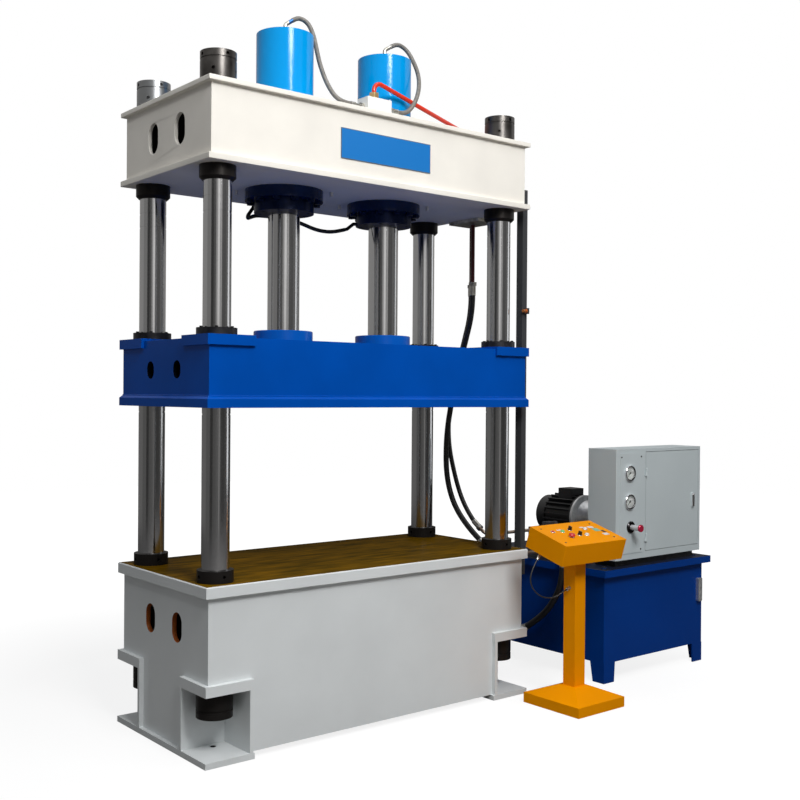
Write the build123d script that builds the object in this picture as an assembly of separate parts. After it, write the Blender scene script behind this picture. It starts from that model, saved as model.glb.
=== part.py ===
from build123d import *
import math
import os

# Four-column hydraulic press with two cylinders, its oil power unit and its push-button console.
# Millimetres. The origin is on the floor, at the centre of the press's foundation bolts.
# X runs along the press to the power unit, Y to the rear, Z up.

# Clearances
static_clear = 0.1
running_clear = 0.05
barrel_clear = 0.5

# Press outline and columns
press_length = 2180
press_depth = 980
column_dia = 140
column_inset_x = 126
column_inset_y = 140
column_end_z = 225
column_top_recess = 27
column_groove_width = 8
column_groove_depth = 1.5
column_groove_levels = (1693, 2685, 2758)

# Nuts on the columns
top_nut_dia = 180
top_nut_height = 152
top_nut_groove_height = 113
nut_groove_width = 10
nut_groove_depth = 4
spanner_hole_dia = 18
spanner_hole_depth = 16
spanner_holes = 4
collar_dia = 182
collar_height = 75
collar_chamfer = 15
bed_nut_dia = 182
bed_nut_height = 60
nut_seat_margin = 5
nut_seat_depth = 1.5
foot_nut_height = 136
foot_nut_groove_height = 40

# Crown
crown_bottom_z = 2915
crown_height = 400
crown_plate_bottom = 30
crown_plate_top = 25
crown_wall_inset = 24
crown_wall = 20
crown_slot_width = 105
crown_slot_height = 160
crown_slot_z = 3120
crown_tube_dia = 200
cylinder_well_dia = 400

# Ribs shared by the three weldments
rib_thickness = 16
rib_x_inner = 175
rib_x_outer = 525
rib_x_end = 834
rib_y_side = 232
slot_offset_y = 146

# Slide
slide_bottom_z = 1726
slide_flange_thickness = 58
slide_body_height = 284
slide_plate_top = 25
slide_wall_inset = 16
slide_wall = 20
slide_slot_width = 76
slide_slot_height = 92
slide_slot_z = 1914
slide_pad_size = 268
slide_pad_height = 52
slide_pad_rise = 14
slide_edge_chamfer = 15
slide_post_dia = 240

# Guide bushes
bush_sleeve_dia = 160
bush_flange_dia = 202
bush_flange_height = 36
bush_lead = 14
bush_tube_dia = 214
bush_bolts = 6

# Bed
bed_top_z = 870
bed_table_thickness = 56
bed_wall_inset = 25
bed_wall = 25
bed_slot_width = 103
bed_slot_height = 152
bed_slot_z = 620
bed_pad_size = 268
bed_pad_bottom_z = 342
bed_pad_height = 52
bed_foot_thickness = 30
bed_foot_length = 274
bed_notch_x = 844
bed_notch_y = 242
bed_notch_plate = 20
bed_tube_dia = 200
bed_edge_chamfer = 5
anchor_spacing_x = 1860
anchor_spacing_y = 560
anchor_hole_dia = 30

# Cylinders
cylinder_spacing = 700
barrel_dia = 316
barrel_bore = 250
barrel_rise = 455
barrel_cap = 50
flange_dia = 432
flange_thickness = 60
flange_bolts = 12
flange_bolt_circle = 382
gland_dia = 330
gland_height = 65
gland_spigot = 15
gland_bolts = 8
gland_bolt_circle = 270
stud_spread_x = 213
stud_spread_y = 152
stud_dia = 20
stud_length = 25
rod_dia = 176
rod_foot_dia = 206
rod_foot_height = 25
rod_spigot_dia = 120
piston_height = 90
piston_rest_z = 3125
piston_nut_flats = 170
piston_nut_height = 36
rod_flange_dia = 326
rod_flange_height = 72
rod_flange_bolts = 8
rod_flange_bolt_circle = 276
seal_height = 12
seal_width = 9

# Bolt heads: distance across flats and height
large_bolt = (36, 15)
small_bolt = (16, 7)
switch_nut = (26, 5)

# Socket heads sunk into the glands and the rod flanges
socket_dia = 24
socket_height = 13
socket_recess = 14
socket_key = (12, 7)

# Oil manifold on the crown and the pipes
manifold_x = 125
manifold_length = 170
manifold_front_y = -250
manifold_depth = 105
manifold_height = 147
hose_port_y = -200
hose_port_height = 97
pipe_nut_flats = 50
pipe_nut_height = 38
pressure_pipe_dia = 25
pressure_pipe_x = 118
pressure_pipe_rise = 108
pressure_pipe_bend = 45
pressure_pipe_knee = (505, -182, 3477)
drop_x = 1150
drop_y = 78
drop_turn_z = 3455
return_x = 1195
return_y = 143
return_turn_z = 2990
return_pipe_dia = 22
clamp_thickness = 22
clamp_front_y = -85
clamp_reach = 50

# Flexible hoses and the console cable
top_hose_dia = 25
link_hose_dia = 22
drop_hose_dia = 36
return_hose_dia = 30
supply_hose_dia = 42
cable_dia = 8
elbow_dia = 22
elbow_bend = 24
link_port_turn = 148
link_flat_depth = 4
link_flange_turn = 120
link_neck = 18
limp_bend = 2
hose_bend = 5

# Limit switch rail
rail_x = 1132
rail_y = -382
rail_width = 40
rail_depth = 52
rail_web = 5
rail_bottom_z = 700
rail_top_z = 3050
rail_arm_size = 40
rail_arm_inset = 50
switch_z = 2310
switch_dia = 18
switch_length = 48
switch_gap = 8
switch_bracket = 8
striker_gap = 4
striker_z = 1900
striker_height = 100
striker_width = 30

# Sign plate
sign_width = 615
sign_height = 161
sign_thickness = 4
sign_x = 4
sign_z = 3110

# Power unit: tank and lid
tank_left_x = 1610
tank_front_y = -652
tank_length = 1015
tank_depth = 1190
tank_bottom_z = 125
tank_wall = 8
lid_top_z = 714
lid_plate = 8
lid_skirt = 44
lid_skirt_wall = 6
lid_overhang = 41
leg_top = (106, 113)
leg_bottom = (98, 91)
leg_wall = 10
lid_plug_dia = 32
lid_plug_inset = 44
level_gauge_inset = 47
level_gauge_z = 488
level_gauge_width = 42
level_gauge_height = 157
level_gauge_depth = 22
level_window_width = 16
level_window_height = 110

# Power unit: electrical cabinet
cabinet_inset = 104
cabinet_length = 880
cabinet_depth = 230
cabinet_top_z = 1459
cabinet_sheet = 3
plinth_height = 42
plinth_inset = 35
plinth_wall = 20
panel_inset = 36
panel_width = 235
panel_bottom_z = 795
panel_height = 637
panel_thickness = 3
door_inset = 296
door_width = 558
door_bottom_z = 800
door_height = 636
door_thickness = 18
door_sheet = 2.5
door_gap = 3
hinge_dia = 14
hinge_height = 50
hinge_levels = (885, 1306)
hinge_pin_dia = 7
handle_inset = 62
handle_z = 1100
handle_height = 104
handle_width = 34
handle_base = 6
handle_lever = 8
handle_spindle_dia = 12
handle_cam_overlap = 9
handle_cam_width = 16
handle_cam_thickness = 4
gear_plate_width = 500
gear_plate_height = 560
gear_plate_sheet = 3
gear_stud_length = 22
gear_margin = 60

# Gauges and the valve knob on the instrument panel
gauge_inset = 91
gauge_levels = (1124, 1305)
gauge_bezel_dia = 100
gauge_case_dia = 90
gauge_case_depth = 42
gauge_bezel_height = 12
gauge_dial_dia = 80
gauge_dial_height = 2
gauge_lens_dia = 86
gauge_lens_height = 8
gauge_lens_thickness = 2
needle_length = 33
needle_tail = 10
needle_width = 3
needle_thickness = 1
needle_spindle_dia = 4
needle_rest_angle = 225
valve_inset = 104
valve_z = 962
valve_collar_dia = 76
valve_collar_height = 10
valve_stem_dia = 16
valve_rod_dia = 34
valve_rod_length = 76
valve_cap_dia = 46
valve_cap_height = 12

# Power unit: motor, pump and valves
motor_inset = 340
motor_z = 978
motor_flange_y = -184
motor_body_dia = 236
motor_fin_dia = 294
motor_fins = 24
motor_fin_thickness = 6
motor_length = 264
motor_end_wall = 14
motor_bore = 150
rotor_air_gap = 1
rotor_core_length = 200
shaft_dia = 30
coupling_dia = 70
coupling_length = 60
fan_cover_dia = 250
fan_cover_depth = 72
fan_cover_wall = 3
fan_dia = 200
fan_hub_dia = 56
fan_depth = 26
fan_blades = 8
fan_slots = 16
bell_length = 120
bell_nose_dia = 190
bell_wall = 16
bell_flange = 16
pump_dia = 130
pump_length = 96
pump_cover_dia = 150
pump_cover = 22
stand_plate = 15
stand_length = 250
stand_width = 250
motor_foot_gap = 3
motor_foot_height = 46
motor_foot_width = 34
motor_foot_spread = 200
suction_pipe_dia = 42
strainer_dia = 90
strainer_height = 120
strainer_bottom_z = 200
valve_block_inset = 10
valve_block_length = 140
valve_block_front_y = -400
valve_block_depth = 420
valve_block_height = 201
solenoid_dia = 46
solenoid_length = 80
solenoid_spread = 180

# Console
console_x = 1136
console_y = -825
base_length = 396
base_depth = 426
base_rim = 58
base_top_z = 115
base_neck = 120
base_wall = 6
post_size = 88
post_wall = 4
box_length = 518
box_slant = 294
box_thickness = 122
box_wall = 3
face_plate = 4
face_front_y = -994
face_front_z = 959
face_tilt = 16.4
device_hole_dia = 22.4
bezel_dia = 30
bezel_height = 4
bezel_stem_dia = 22
bezel_stem_length = 32
cap_stem_dia = 16
cap_stem_length = 22
cap_rise = 8
cap_seat_gap = 0.3
mushroom_dia = 40
mushroom_gap = 6
mushroom_height = 14
knob_dia = 25
knob_height = 14
knob_grip = 7
lamp_height = 9
gland_dia_cable = 18
gland_length_cable = 22

# Places of the devices on the console's face: across from its centre, up from its front edge
red_button_at = (-172, 192)
green_lamp_at = (-104, 180)
selector_at = (-28, 194)
mushroom_at = (-108, 103)
black_knob_at = (-24, 117)
white_lamp_at = (95, 184)
second_lamp_at = (28, 108)

# Hose and cable routes, from end to end
top_hose_left_route = [
    (-303, 0, 3868), (-278, 0, 3886), (-248, -3, 3890), (-220, -9, 3880), (-197, -17, 3855),
    (-186, -40, 3795), (-189, -73, 3711), (-192, -108, 3624), (-179, -148, 3524), (-152, -177, 3454),
    (-123, -190, 3426), (-86, -200, 3412), (-46, -200, 3412),
]
top_hose_right_route = [
    (398, 0, 3869), (428, 0, 3888), (464, -3, 3892), (499, -8, 3877), (526, -19, 3847),
    (540, -46, 3789), (527, -93, 3726), (497, -145, 3657), (458, -190, 3586), (419, -219, 3524),
    (385, -229, 3472), (352, -229, 3434), (312, -228, 3412), (268, -228, 3412),
]
drop_hose_main_route = [
    (drop_x, 78, 2440), (drop_x, 78, 2330), (drop_x, 154, 2130), (drop_x, 288, 1790),
    (drop_x, 335, 1500), (drop_x, 255, 1205), (drop_x, 120, 985), (drop_x, -10, 866),
]
drop_hose_return_route = [
    (return_x, 143, 2440), (return_x, 143, 2330), (return_x, 219, 2130), (return_x, 348, 1790),
    (return_x, 388, 1500), (return_x, 312, 1225), (return_x, 205, 1050), (return_x, 95, 974),
]
link_hose_route = [
    (-470, 170, 2777), (-415, 202, 2800), (-350, 216, 2806), (-270, 206, 2806), (-190, 176, 2797),
    (-128, 143, 2774), (-62, 120, 2748), (5, 110, 2740), (75, 105, 2746), (140, 102, 2765),
]
supply_hose_route = [
    (1540, -368, 700), (1540, -360, 600), (1540, -300, 480), (1540, -190, 355), (1540, -60, 272),
]
console_cable_route = [
    (890, -760, 858), (852, -758, 806), (830, -760, 745), (850, -770, 686), (900, -786, 645),
    (962, -806, 634), (1012, -820, 650), (1042, -825, 670), (1070, -825, 676),
]

# Worked-out levels and places
half_length = press_length / 2
half_depth = press_depth / 2
column_x = half_length - column_inset_x
column_y = half_depth - column_inset_y
crown_top_z = crown_bottom_z + crown_height
barrel_top_z = crown_top_z + barrel_rise
slide_body_z = slide_bottom_z + slide_flange_thickness
slide_top_z = slide_body_z + slide_body_height
slide_pad_top_z = slide_top_z + slide_pad_rise
bed_pad_top_z = bed_pad_bottom_z + bed_pad_height
bed_table_z = bed_top_z - bed_table_thickness
nut_seat_dia = bed_nut_dia + 2 * nut_seat_margin
column_top_z = crown_top_z + top_nut_height - column_top_recess
cylinder_x = cylinder_spacing / 2
flange_bottom_z = crown_bottom_z - flange_thickness
gland_bottom_z = flange_bottom_z - gland_height
manifold_top_z = crown_top_z + manifold_height
manifold_left_x = manifold_x - manifold_length / 2
hose_port_z = crown_top_z + hose_port_height
lid_plate_z = lid_top_z - lid_plate
tank_right_x = tank_left_x + tank_length
tank_rear_y = tank_front_y + tank_depth
level_gauge_x = tank_right_x - level_gauge_inset
motor_x = tank_left_x + motor_inset
valve_block_x = tank_left_x + valve_block_inset
cabinet_left_x = tank_left_x + cabinet_inset
panel_left_x = cabinet_left_x + panel_inset
gauge_x = panel_left_x + gauge_inset
valve_x = panel_left_x + valve_inset
door_left_x = cabinet_left_x + door_inset
handle_x = door_left_x + door_width - handle_inset
handle_cam_reach = handle_inset + handle_cam_overlap
cabinet_bottom_z = lid_top_z + plinth_height
cabinet_rear_y = tank_front_y + cabinet_depth
panel_front_y = tank_front_y - panel_thickness
motor_foot_z = motor_z - motor_fin_dia / 2 - motor_foot_gap
valve_block_top_z = lid_top_z + valve_block_height

COLUMNS = [(sx * column_x, sy * column_y) for sx in (-1, 1) for sy in (-1, 1)]
CYLINDERS = [(-cylinder_x, 0), (cylinder_x, 0)]
SIDES = (-1, 1)


def block(x0, x1, y0, y1, z0, z1):
    """A rectangular bar or plate between two corners."""
    return Pos((x0 + x1) / 2, (y0 + y1) / 2, (z0 + z1) / 2) * Box(x1 - x0, y1 - y0, z1 - z0)


def disc(dia, z0, z1, x=0, y=0):
    """An upright round bar."""
    return Pos(x, y, (z0 + z1) / 2) * Cylinder(dia / 2, z1 - z0)


def ring(outer, inner, z0, z1, x=0, y=0):
    """An upright tube."""
    return disc(outer, z0, z1, x, y) - disc(inner, z0 - 1, z1 + 1, x, y)


def turned(*outline):
    """A turned piece from its half section, given as radius and height."""
    section = Plane.XZ * make_face(Polyline(*outline, close=True))
    return revolve(section, Axis.Z)


def hex_head(size, z, x=0, y=0):
    """A bolt head that stands on level z, or hangs below it if its height is negative."""
    flats, height = size
    outline = Pos(x, y, z) * RegularPolygon(flats / 2, 6, major_radius=False)
    return extrude(outline, amount=height)


def socket_head(z, x, y):
    """A socket head with its top on level z and its key hole upward."""
    head = disc(socket_dia, z - socket_height, z, x, y)
    flats, depth = socket_key
    return head - hex_head((flats, depth + 1), z - depth, x, y)


def sunk_heads(circle, count, z, x, y, first=0):
    """Socket heads sunk into a face on level z, and the recesses they stand in."""
    places = circle_points(circle, count, x, y, first)
    heads = [socket_head(z - socket_recess + socket_height, px, py) for px, py in places]
    recesses = [disc(socket_dia + 2 * static_clear, z - socket_recess, z + 1, px, py) for px, py in places]
    return heads, recesses


def circle_points(circle, count, x=0, y=0, first=0):
    """Evenly spaced places on a bolt circle."""
    angles = [math.radians(first + 360 * i / count) for i in range(count)]
    return [(x + circle / 2 * math.cos(a), y + circle / 2 * math.sin(a)) for a in angles]


def frame_along(start, end):
    """A plane at start whose normal points to end."""
    direction = Vector(*end) - Vector(*start)
    return Plane(origin=start, z_dir=direction)


def group(parts):
    """Several separate pieces of one kind."""
    return Compound(children=list(parts))


def plate_grid(half_x, half_y, wall, ribs_x, ribs_y, z0, z1):
    """Outer walls and crossing ribs, cut as cells out of one outline."""
    gap = rib_thickness / 2
    edges_x = [-half_x + wall] + [x + s * gap for x in ribs_x for s in SIDES] + [half_x - wall]
    edges_y = [-half_y + wall] + [y + s * gap for y in ribs_y for s in SIDES] + [half_y - wall]
    cells = []
    for x0, x1 in zip(edges_x[::2], edges_x[1::2]):
        for y0, y1 in zip(edges_y[::2], edges_y[1::2]):
            cells.append(Pos((x0 + x1) / 2, (y0 + y1) / 2) * Rectangle(x1 - x0, y1 - y0))
    outline = Rectangle(2 * half_x, 2 * half_y) - cells
    return extrude(Pos(0, 0, z0) * outline, amount=z1 - z0)


RIBS_X = sorted(s * x for s in SIDES for x in (rib_x_inner, rib_x_outer, rib_x_end))
RIBS_Y = [-rib_y_side, 0, rib_y_side]


def end_slots(width, height, z):
    """Round-ended access slots through both end walls, two at each end."""
    outline = Plane.YZ * SlotOverall(height, width, rotation=90)
    cutter = extrude(outline, amount=2 * (bed_wall_inset + bed_wall), both=True)
    return [Pos(sx * half_length, sy * slot_offset_y, z) * cutter for sx in SIDES for sy in SIDES]


def corner_pads(size, z0, z1):
    """Square pads flush with the four corners."""
    return [
        Pos(sx * (half_length - size / 2), sy * (half_depth - size / 2), (z0 + z1) / 2)
        * Box(size, size, z1 - z0)
        for sx in SIDES for sy in SIDES
    ]


def bevel_corners(shape, z0, z1, size):
    """Bevels the level outer edges of a plate between two levels."""
    edges = [
        e for e in shape.edges().filter_by(lambda e: e.geom_type == GeomType.LINE)
        if abs(e.center().Z - z1) < 0.01
        and (abs(abs(e.center().X) - half_length) < 0.01 or abs(abs(e.center().Y) - half_depth) < 0.01)
        and e.bounding_box().size.Z < 0.01
    ]
    return chamfer(edges, size)


def bed_lower_plates():
    """The plates below the corner pads: walls between the notches, notch plates and foot plates."""
    wall_x = half_length - bed_wall_inset
    wall_y = half_depth - bed_wall_inset
    inner_x = bed_notch_x - bed_notch_plate
    inner_y = bed_notch_y - bed_notch_plate
    height = bed_pad_bottom_z - bed_foot_thickness
    middle_z = bed_foot_thickness + height / 2
    plates = []
    for s in SIDES:
        plates.append(Pos(0, s * (wall_y - bed_wall / 2), middle_z) * Box(2 * inner_x, bed_wall, height))
        plates.append(Pos(s * (wall_x - bed_wall / 2), 0, middle_z) * Box(bed_wall, 2 * inner_y, height))
        foot_x = s * (half_length - bed_foot_length / 2)
        foot = Pos(foot_x, 0, bed_foot_thickness / 2) * Box(bed_foot_length, press_depth, bed_foot_thickness)
        anchors = [
            disc(anchor_hole_dia, -1, bed_foot_thickness + 1, s * anchor_spacing_x / 2, sy * anchor_spacing_y / 2)
            for sy in SIDES
        ]
        plates.append(foot - anchors)
    for sx in SIDES:
        for sy in SIDES:
            along_x = sx * (bed_notch_x + half_length) / 2
            along_y = sy * (inner_y + bed_notch_plate / 2)
            across_x = sx * (inner_x + bed_notch_plate / 2)
            across_y = sy * (inner_y + half_depth) / 2
            along = Box(half_length - bed_notch_x, bed_notch_plate, height)
            across = Box(bed_notch_plate, half_depth - inner_y, height)
            plates.append(Pos(along_x, along_y, middle_z) * along)
            plates.append(Pos(across_x, across_y, middle_z) * across)
    return plates


def bed_weldment():
    """The ribbed box under the table stands on the lower plates, each welded on as a plate of its own."""
    wall_x = half_length - bed_wall_inset
    wall_y = half_depth - bed_wall_inset
    table = block(-half_length, half_length, -half_depth, half_depth, bed_table_z, bed_top_z)
    table = bevel_corners(table, bed_table_z, bed_top_z, bed_edge_chamfer)
    walls = plate_grid(wall_x, wall_y, bed_wall, RIBS_X, RIBS_Y, bed_pad_bottom_z, bed_table_z)
    tubes = [disc(bed_tube_dia, bed_pad_top_z, bed_table_z, x, y) for x, y in COLUMNS]
    pads = corner_pads(bed_pad_size, bed_pad_bottom_z, bed_pad_top_z)
    body = walls + tubes + pads + table
    bore_dia = column_dia + 2 * static_clear
    bores = [disc(bore_dia, bed_pad_bottom_z - 1, bed_top_z + 1, x, y) for x, y in COLUMNS]
    seats = [disc(nut_seat_dia, bed_top_z - nut_seat_depth, bed_top_z + 1, x, y) for x, y in COLUMNS]
    body = body - bores - seats - end_slots(bed_slot_width, bed_slot_height, bed_slot_z)
    return group([body, *bed_lower_plates()])


def crown_weldment():
    wall_x = half_length - crown_wall_inset
    wall_y = half_depth - crown_wall_inset
    bottom_z = crown_bottom_z + crown_plate_bottom
    top_z = crown_top_z - crown_plate_top
    bottom = block(-half_length, half_length, -half_depth, half_depth, crown_bottom_z, bottom_z)
    top = block(-half_length, half_length, -half_depth, half_depth, top_z, crown_top_z)
    walls = plate_grid(wall_x, wall_y, crown_wall, RIBS_X, RIBS_Y, bottom_z, top_z)
    tubes = [disc(crown_tube_dia, bottom_z, top_z, x, y) for x, y in COLUMNS]
    wells = [disc(cylinder_well_dia, bottom_z, top_z, x, y) for x, y in CYLINDERS]
    body = walls + tubes + wells + bottom + top
    z0 = crown_bottom_z - 1
    z1 = crown_top_z + 1
    bores = [disc(column_dia + 2 * static_clear, z0, z1, x, y) for x, y in COLUMNS]
    bores += [disc(barrel_dia + 2 * barrel_clear, z0, z1, x, y) for x, y in CYLINDERS]
    r_port = return_pipe_dia / 2 + static_clear
    port = Pos(wall_x, return_y, return_turn_z) * Rot(0, 90, 0) * Cylinder(r_port, 4 * crown_wall)
    return body - bores - end_slots(crown_slot_width, crown_slot_height, crown_slot_z) - port


def slide_weldment():
    wall_x = half_length - slide_wall_inset
    wall_y = half_depth - slide_wall_inset
    plate_z = slide_top_z - slide_plate_top
    pad_bottom_z = slide_pad_top_z - slide_pad_height
    flange = block(-half_length, half_length, -half_depth, half_depth, slide_bottom_z, slide_body_z)
    flange = bevel_corners(flange, slide_bottom_z, slide_body_z, slide_edge_chamfer)
    top = block(-wall_x, wall_x, -wall_y, wall_y, plate_z, slide_top_z)
    walls = plate_grid(wall_x, wall_y, slide_wall, RIBS_X, RIBS_Y, slide_body_z, plate_z)
    tubes = [disc(bush_tube_dia, slide_body_z, plate_z, x, y) for x, y in COLUMNS]
    posts = [disc(slide_post_dia, slide_body_z, plate_z, x, y) for x, y in CYLINDERS]
    pads = corner_pads(slide_pad_size, pad_bottom_z, slide_pad_top_z)
    face_x = half_length + switch_gap - striker_gap
    striker = block(wall_x, face_x, rail_y - rail_depth / 2 - switch_dia - striker_width / 2,
                    rail_y - rail_depth / 2 - switch_dia + striker_width / 2,
                    striker_z - striker_height / 2, striker_z + striker_height / 2)
    body = walls + tubes + posts + flange + top + pads + striker
    bore = bush_sleeve_dia + 2 * static_clear
    bores = [disc(bore, slide_bottom_z - 1, slide_pad_top_z + 1, x, y) for x, y in COLUMNS]
    return body - bores - end_slots(slide_slot_width, slide_slot_height, slide_slot_z)


def guide_columns():
    columns = []
    for x, y in COLUMNS:
        column = disc(column_dia, column_end_z, column_top_z, x, y)
        for z in column_groove_levels:
            groove = ring(column_dia + 2, column_dia - 2 * column_groove_depth,
                          z - column_groove_width / 2, z + column_groove_width / 2, x, y)
            column -= groove
        columns.append(column)
    return group(columns)


def spanner_bores(dia, z, first, x, y):
    """Radial blind holes for a pin spanner."""
    holes = []
    for i in range(spanner_holes):
        turn = first + 360 * i / spanner_holes
        reach = dia / 2 - spanner_hole_depth / 2 + 1
        hole = Rot(0, 0, turn) * Pos(reach, 0, 0) * Rot(0, 90, 0)
        holes.append(Pos(x, y, z) * hole * Cylinder(spanner_hole_dia / 2, spanner_hole_depth + 2))
    return holes


def round_nut(dia, z0, z1, groove_z, hole_levels, x, y):
    """A round column nut with a groove and rows of spanner holes."""
    nut = ring(dia, column_dia + 2 * static_clear, z0, z1, x, y)
    if groove_z:
        low = groove_z - nut_groove_width / 2
        nut -= ring(dia + 2, dia - 2 * nut_groove_depth, low, low + nut_groove_width, x, y)
    for z, first in hole_levels:
        nut -= spanner_bores(dia, z, first, x, y)
    return nut


def column_nuts():
    nuts = []
    upper_z = crown_top_z + (top_nut_groove_height + top_nut_height) / 2
    lower_z = crown_top_z + top_nut_groove_height / 2
    step = 180 / spanner_holes
    for x, y in COLUMNS:
        top_z = crown_top_z + top_nut_height
        groove_z = crown_top_z + top_nut_groove_height
        nuts.append(round_nut(top_nut_dia, crown_top_z, top_z, groove_z, [(upper_z, 0), (lower_z, step)], x, y))
        collar = round_nut(collar_dia, crown_bottom_z - collar_height, crown_bottom_z, None, [], x, y)
        rim = [e for e in collar.edges().filter_by(GeomType.CIRCLE)
               if e.center().Z < crown_bottom_z - 1 and e.radius > column_dia / 2 + 1]
        nuts.append(chamfer(rim, collar_chamfer))
        hole_z = bed_top_z + bed_nut_height / 2
        seat_z = bed_top_z - nut_seat_depth
        nuts.append(round_nut(bed_nut_dia, seat_z, bed_top_z + bed_nut_height, None, [(hole_z, 0)], x, y))
        foot_z = bed_pad_bottom_z - foot_nut_height
        nuts.append(round_nut(bed_nut_dia, foot_z, bed_pad_bottom_z, foot_z + foot_nut_groove_height, [], x, y))
    return group(nuts)


def cylinder_body(x):
    """Barrel, cap and mounting flange, bored from below."""
    inner_top = barrel_top_z - barrel_cap
    body = disc(barrel_dia, crown_bottom_z, barrel_top_z, x) + disc(flange_dia, flange_bottom_z, crown_bottom_z, x)
    return body - disc(barrel_bore, flange_bottom_z - 1, inner_top, x)


def gland_flat(x):
    """The spot face on the right gland that the link hose's elbow screws onto."""
    return Pos(x, 0, 0) * Rot(0, 0, link_port_turn) * block(
        gland_dia / 2 - link_flat_depth, gland_dia, -elbow_dia, elbow_dia, gland_bottom_z - 1, flange_bottom_z)


def cylinder_glands():
    glands = []
    r_rod = rod_dia / 2 + running_clear
    r_seal = rod_dia / 2 + seal_width
    top_z = flange_bottom_z + gland_spigot
    seal_z = gland_bottom_z + gland_height / 2
    for x, y in CYLINDERS:
        gland = turned(
            (r_rod, gland_bottom_z), (gland_dia / 2, gland_bottom_z), (gland_dia / 2, flange_bottom_z),
            (barrel_bore / 2 - static_clear, flange_bottom_z), (barrel_bore / 2 - static_clear, top_z),
            (r_rod, top_z), (r_rod, seal_z + seal_height), (r_seal, seal_z + seal_height),
            (r_seal, seal_z), (r_rod, seal_z))
        glands.append(Pos(x, y, 0) * gland - gland_heads(x, y)[1])
    glands[1] -= gland_flat(cylinder_x)
    return group(glands)


def gland_heads(x, y):
    """The gland's socket heads and their recesses, both facing down."""
    over = Pos(0, 0, 2 * gland_bottom_z) * Rot(180, 0, 0)
    return [[over * piece for piece in pieces]
            for pieces in sunk_heads(gland_bolt_circle, gland_bolts, gland_bottom_z, x, -y)]


def rod_seals():
    seal_z = gland_bottom_z + gland_height / 2
    outer = rod_dia + 2 * seal_width - 2 * static_clear
    inner = rod_dia + 2 * running_clear
    return group(ring(outer, inner, seal_z + static_clear, seal_z + seal_height - static_clear, x, y)
                 for x, y in CYLINDERS)


def cylinder_bolts():
    heads = []
    turn = 180 / flange_bolts
    large_down = (large_bolt[0], -large_bolt[1])
    for cx, cy in CYLINDERS:
        for x, y in circle_points(flange_bolt_circle, flange_bolts, cx, cy, turn):
            heads.append(hex_head(large_down, flange_bottom_z, x, y))
        heads += gland_heads(cx, cy)[0]
        for side in SIDES:
            x = cx + side * stud_spread_x
            y = cy - side * stud_spread_y
            heads.append(disc(stud_dia, crown_bottom_z - stud_length, crown_bottom_z, x, y))
    return group(heads)


def piston_rods():
    piston_top_z = piston_rest_z + piston_height
    r = rod_dia / 2
    rods = []
    for x, y in CYLINDERS:
        rod = turned(
            (0, slide_top_z), (rod_foot_dia / 2, slide_top_z), (rod_foot_dia / 2, slide_top_z + rod_foot_height),
            (r, slide_top_z + rod_foot_height), (r, piston_rest_z), (rod_spigot_dia / 2, piston_rest_z),
            (rod_spigot_dia / 2, piston_top_z), (0, piston_top_z))
        rods.append(Pos(x, y, 0) * rod)
    return group(rods)


def pistons():
    top_z = piston_rest_z + piston_height
    pocket_z = top_z - piston_nut_height
    pieces = []
    for x, y in CYLINDERS:
        spigot = rod_spigot_dia + 2 * static_clear
        piston = ring(barrel_bore - 2 * running_clear, spigot, piston_rest_z, top_z, x, y)
        pocket_dia = piston_nut_flats / math.cos(math.radians(30)) + 6
        piston -= disc(pocket_dia, pocket_z, top_z + 1, x, y)
        nut = hex_head((piston_nut_flats, piston_nut_height), pocket_z, x, y)
        pieces += [piston, nut - disc(spigot, pocket_z - 1, top_z + 1, x, y)]
    return group(pieces)


def rod_flanges():
    top_z = slide_top_z + rod_flange_height
    foot_z = slide_top_z + rod_foot_height + static_clear
    r_foot = rod_foot_dia / 2 + static_clear
    r_rod = rod_dia / 2 + static_clear
    flange = turned(
        (r_foot, slide_top_z), (rod_flange_dia / 2, slide_top_z), (rod_flange_dia / 2, top_z - 4),
        (rod_flange_dia / 2 - 4, top_z), (r_rod, top_z), (r_rod, foot_z), (r_foot, foot_z))
    return group(Pos(x, y, 0) * flange - rod_flange_heads(x, y)[1] for x, y in CYLINDERS)


def rod_flange_heads(x, y):
    return sunk_heads(rod_flange_bolt_circle, rod_flange_bolts, slide_top_z + rod_flange_height, x, y,
                      180 / rod_flange_bolts)


def guide_bushes():
    r_column = column_dia / 2 + running_clear
    top_z = slide_pad_top_z + bush_flange_height
    bush = turned(
        (r_column, slide_bottom_z + bush_lead), (bush_sleeve_dia / 2, slide_bottom_z + bush_lead),
        (bush_sleeve_dia / 2, slide_pad_top_z), (bush_flange_dia / 2, slide_pad_top_z),
        (bush_flange_dia / 2, top_z), (r_column, top_z))
    return group(Pos(x, y, 0) * bush for x, y in COLUMNS)


def slide_bolts():
    heads = []
    for cx, cy in CYLINDERS:
        heads += rod_flange_heads(cx, cy)[0]
    bush_circle = (bush_flange_dia + column_dia) / 2 + 2
    for cx, cy in COLUMNS:
        for x, y in circle_points(bush_circle, bush_bolts, cx, cy):
            heads.append(hex_head(small_bolt, slide_pad_top_z + bush_flange_height, x, y))
    return group(heads)


def sign_plate():
    front_y = -half_depth + crown_wall_inset
    plate = block(sign_x - sign_width / 2, sign_x + sign_width / 2, front_y - sign_thickness, front_y,
                  sign_z - sign_height / 2, sign_z + sign_height / 2)
    return plate


def manifold_block():
    body = block(manifold_left_x, manifold_left_x + manifold_length, manifold_front_y,
                 manifold_front_y + manifold_depth, crown_top_z, manifold_top_z)
    upright = body.edges().filter_by(Axis.Z)
    body = chamfer(upright, 4)
    nut = hex_head((pipe_nut_flats, pipe_nut_height), manifold_top_z, pressure_pipe_x, hose_port_y)
    bore = disc(pressure_pipe_dia + 2 * static_clear, manifold_top_z, manifold_top_z + pipe_nut_height + 1,
                pressure_pipe_x, hose_port_y)
    return group([body, nut - bore])


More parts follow.
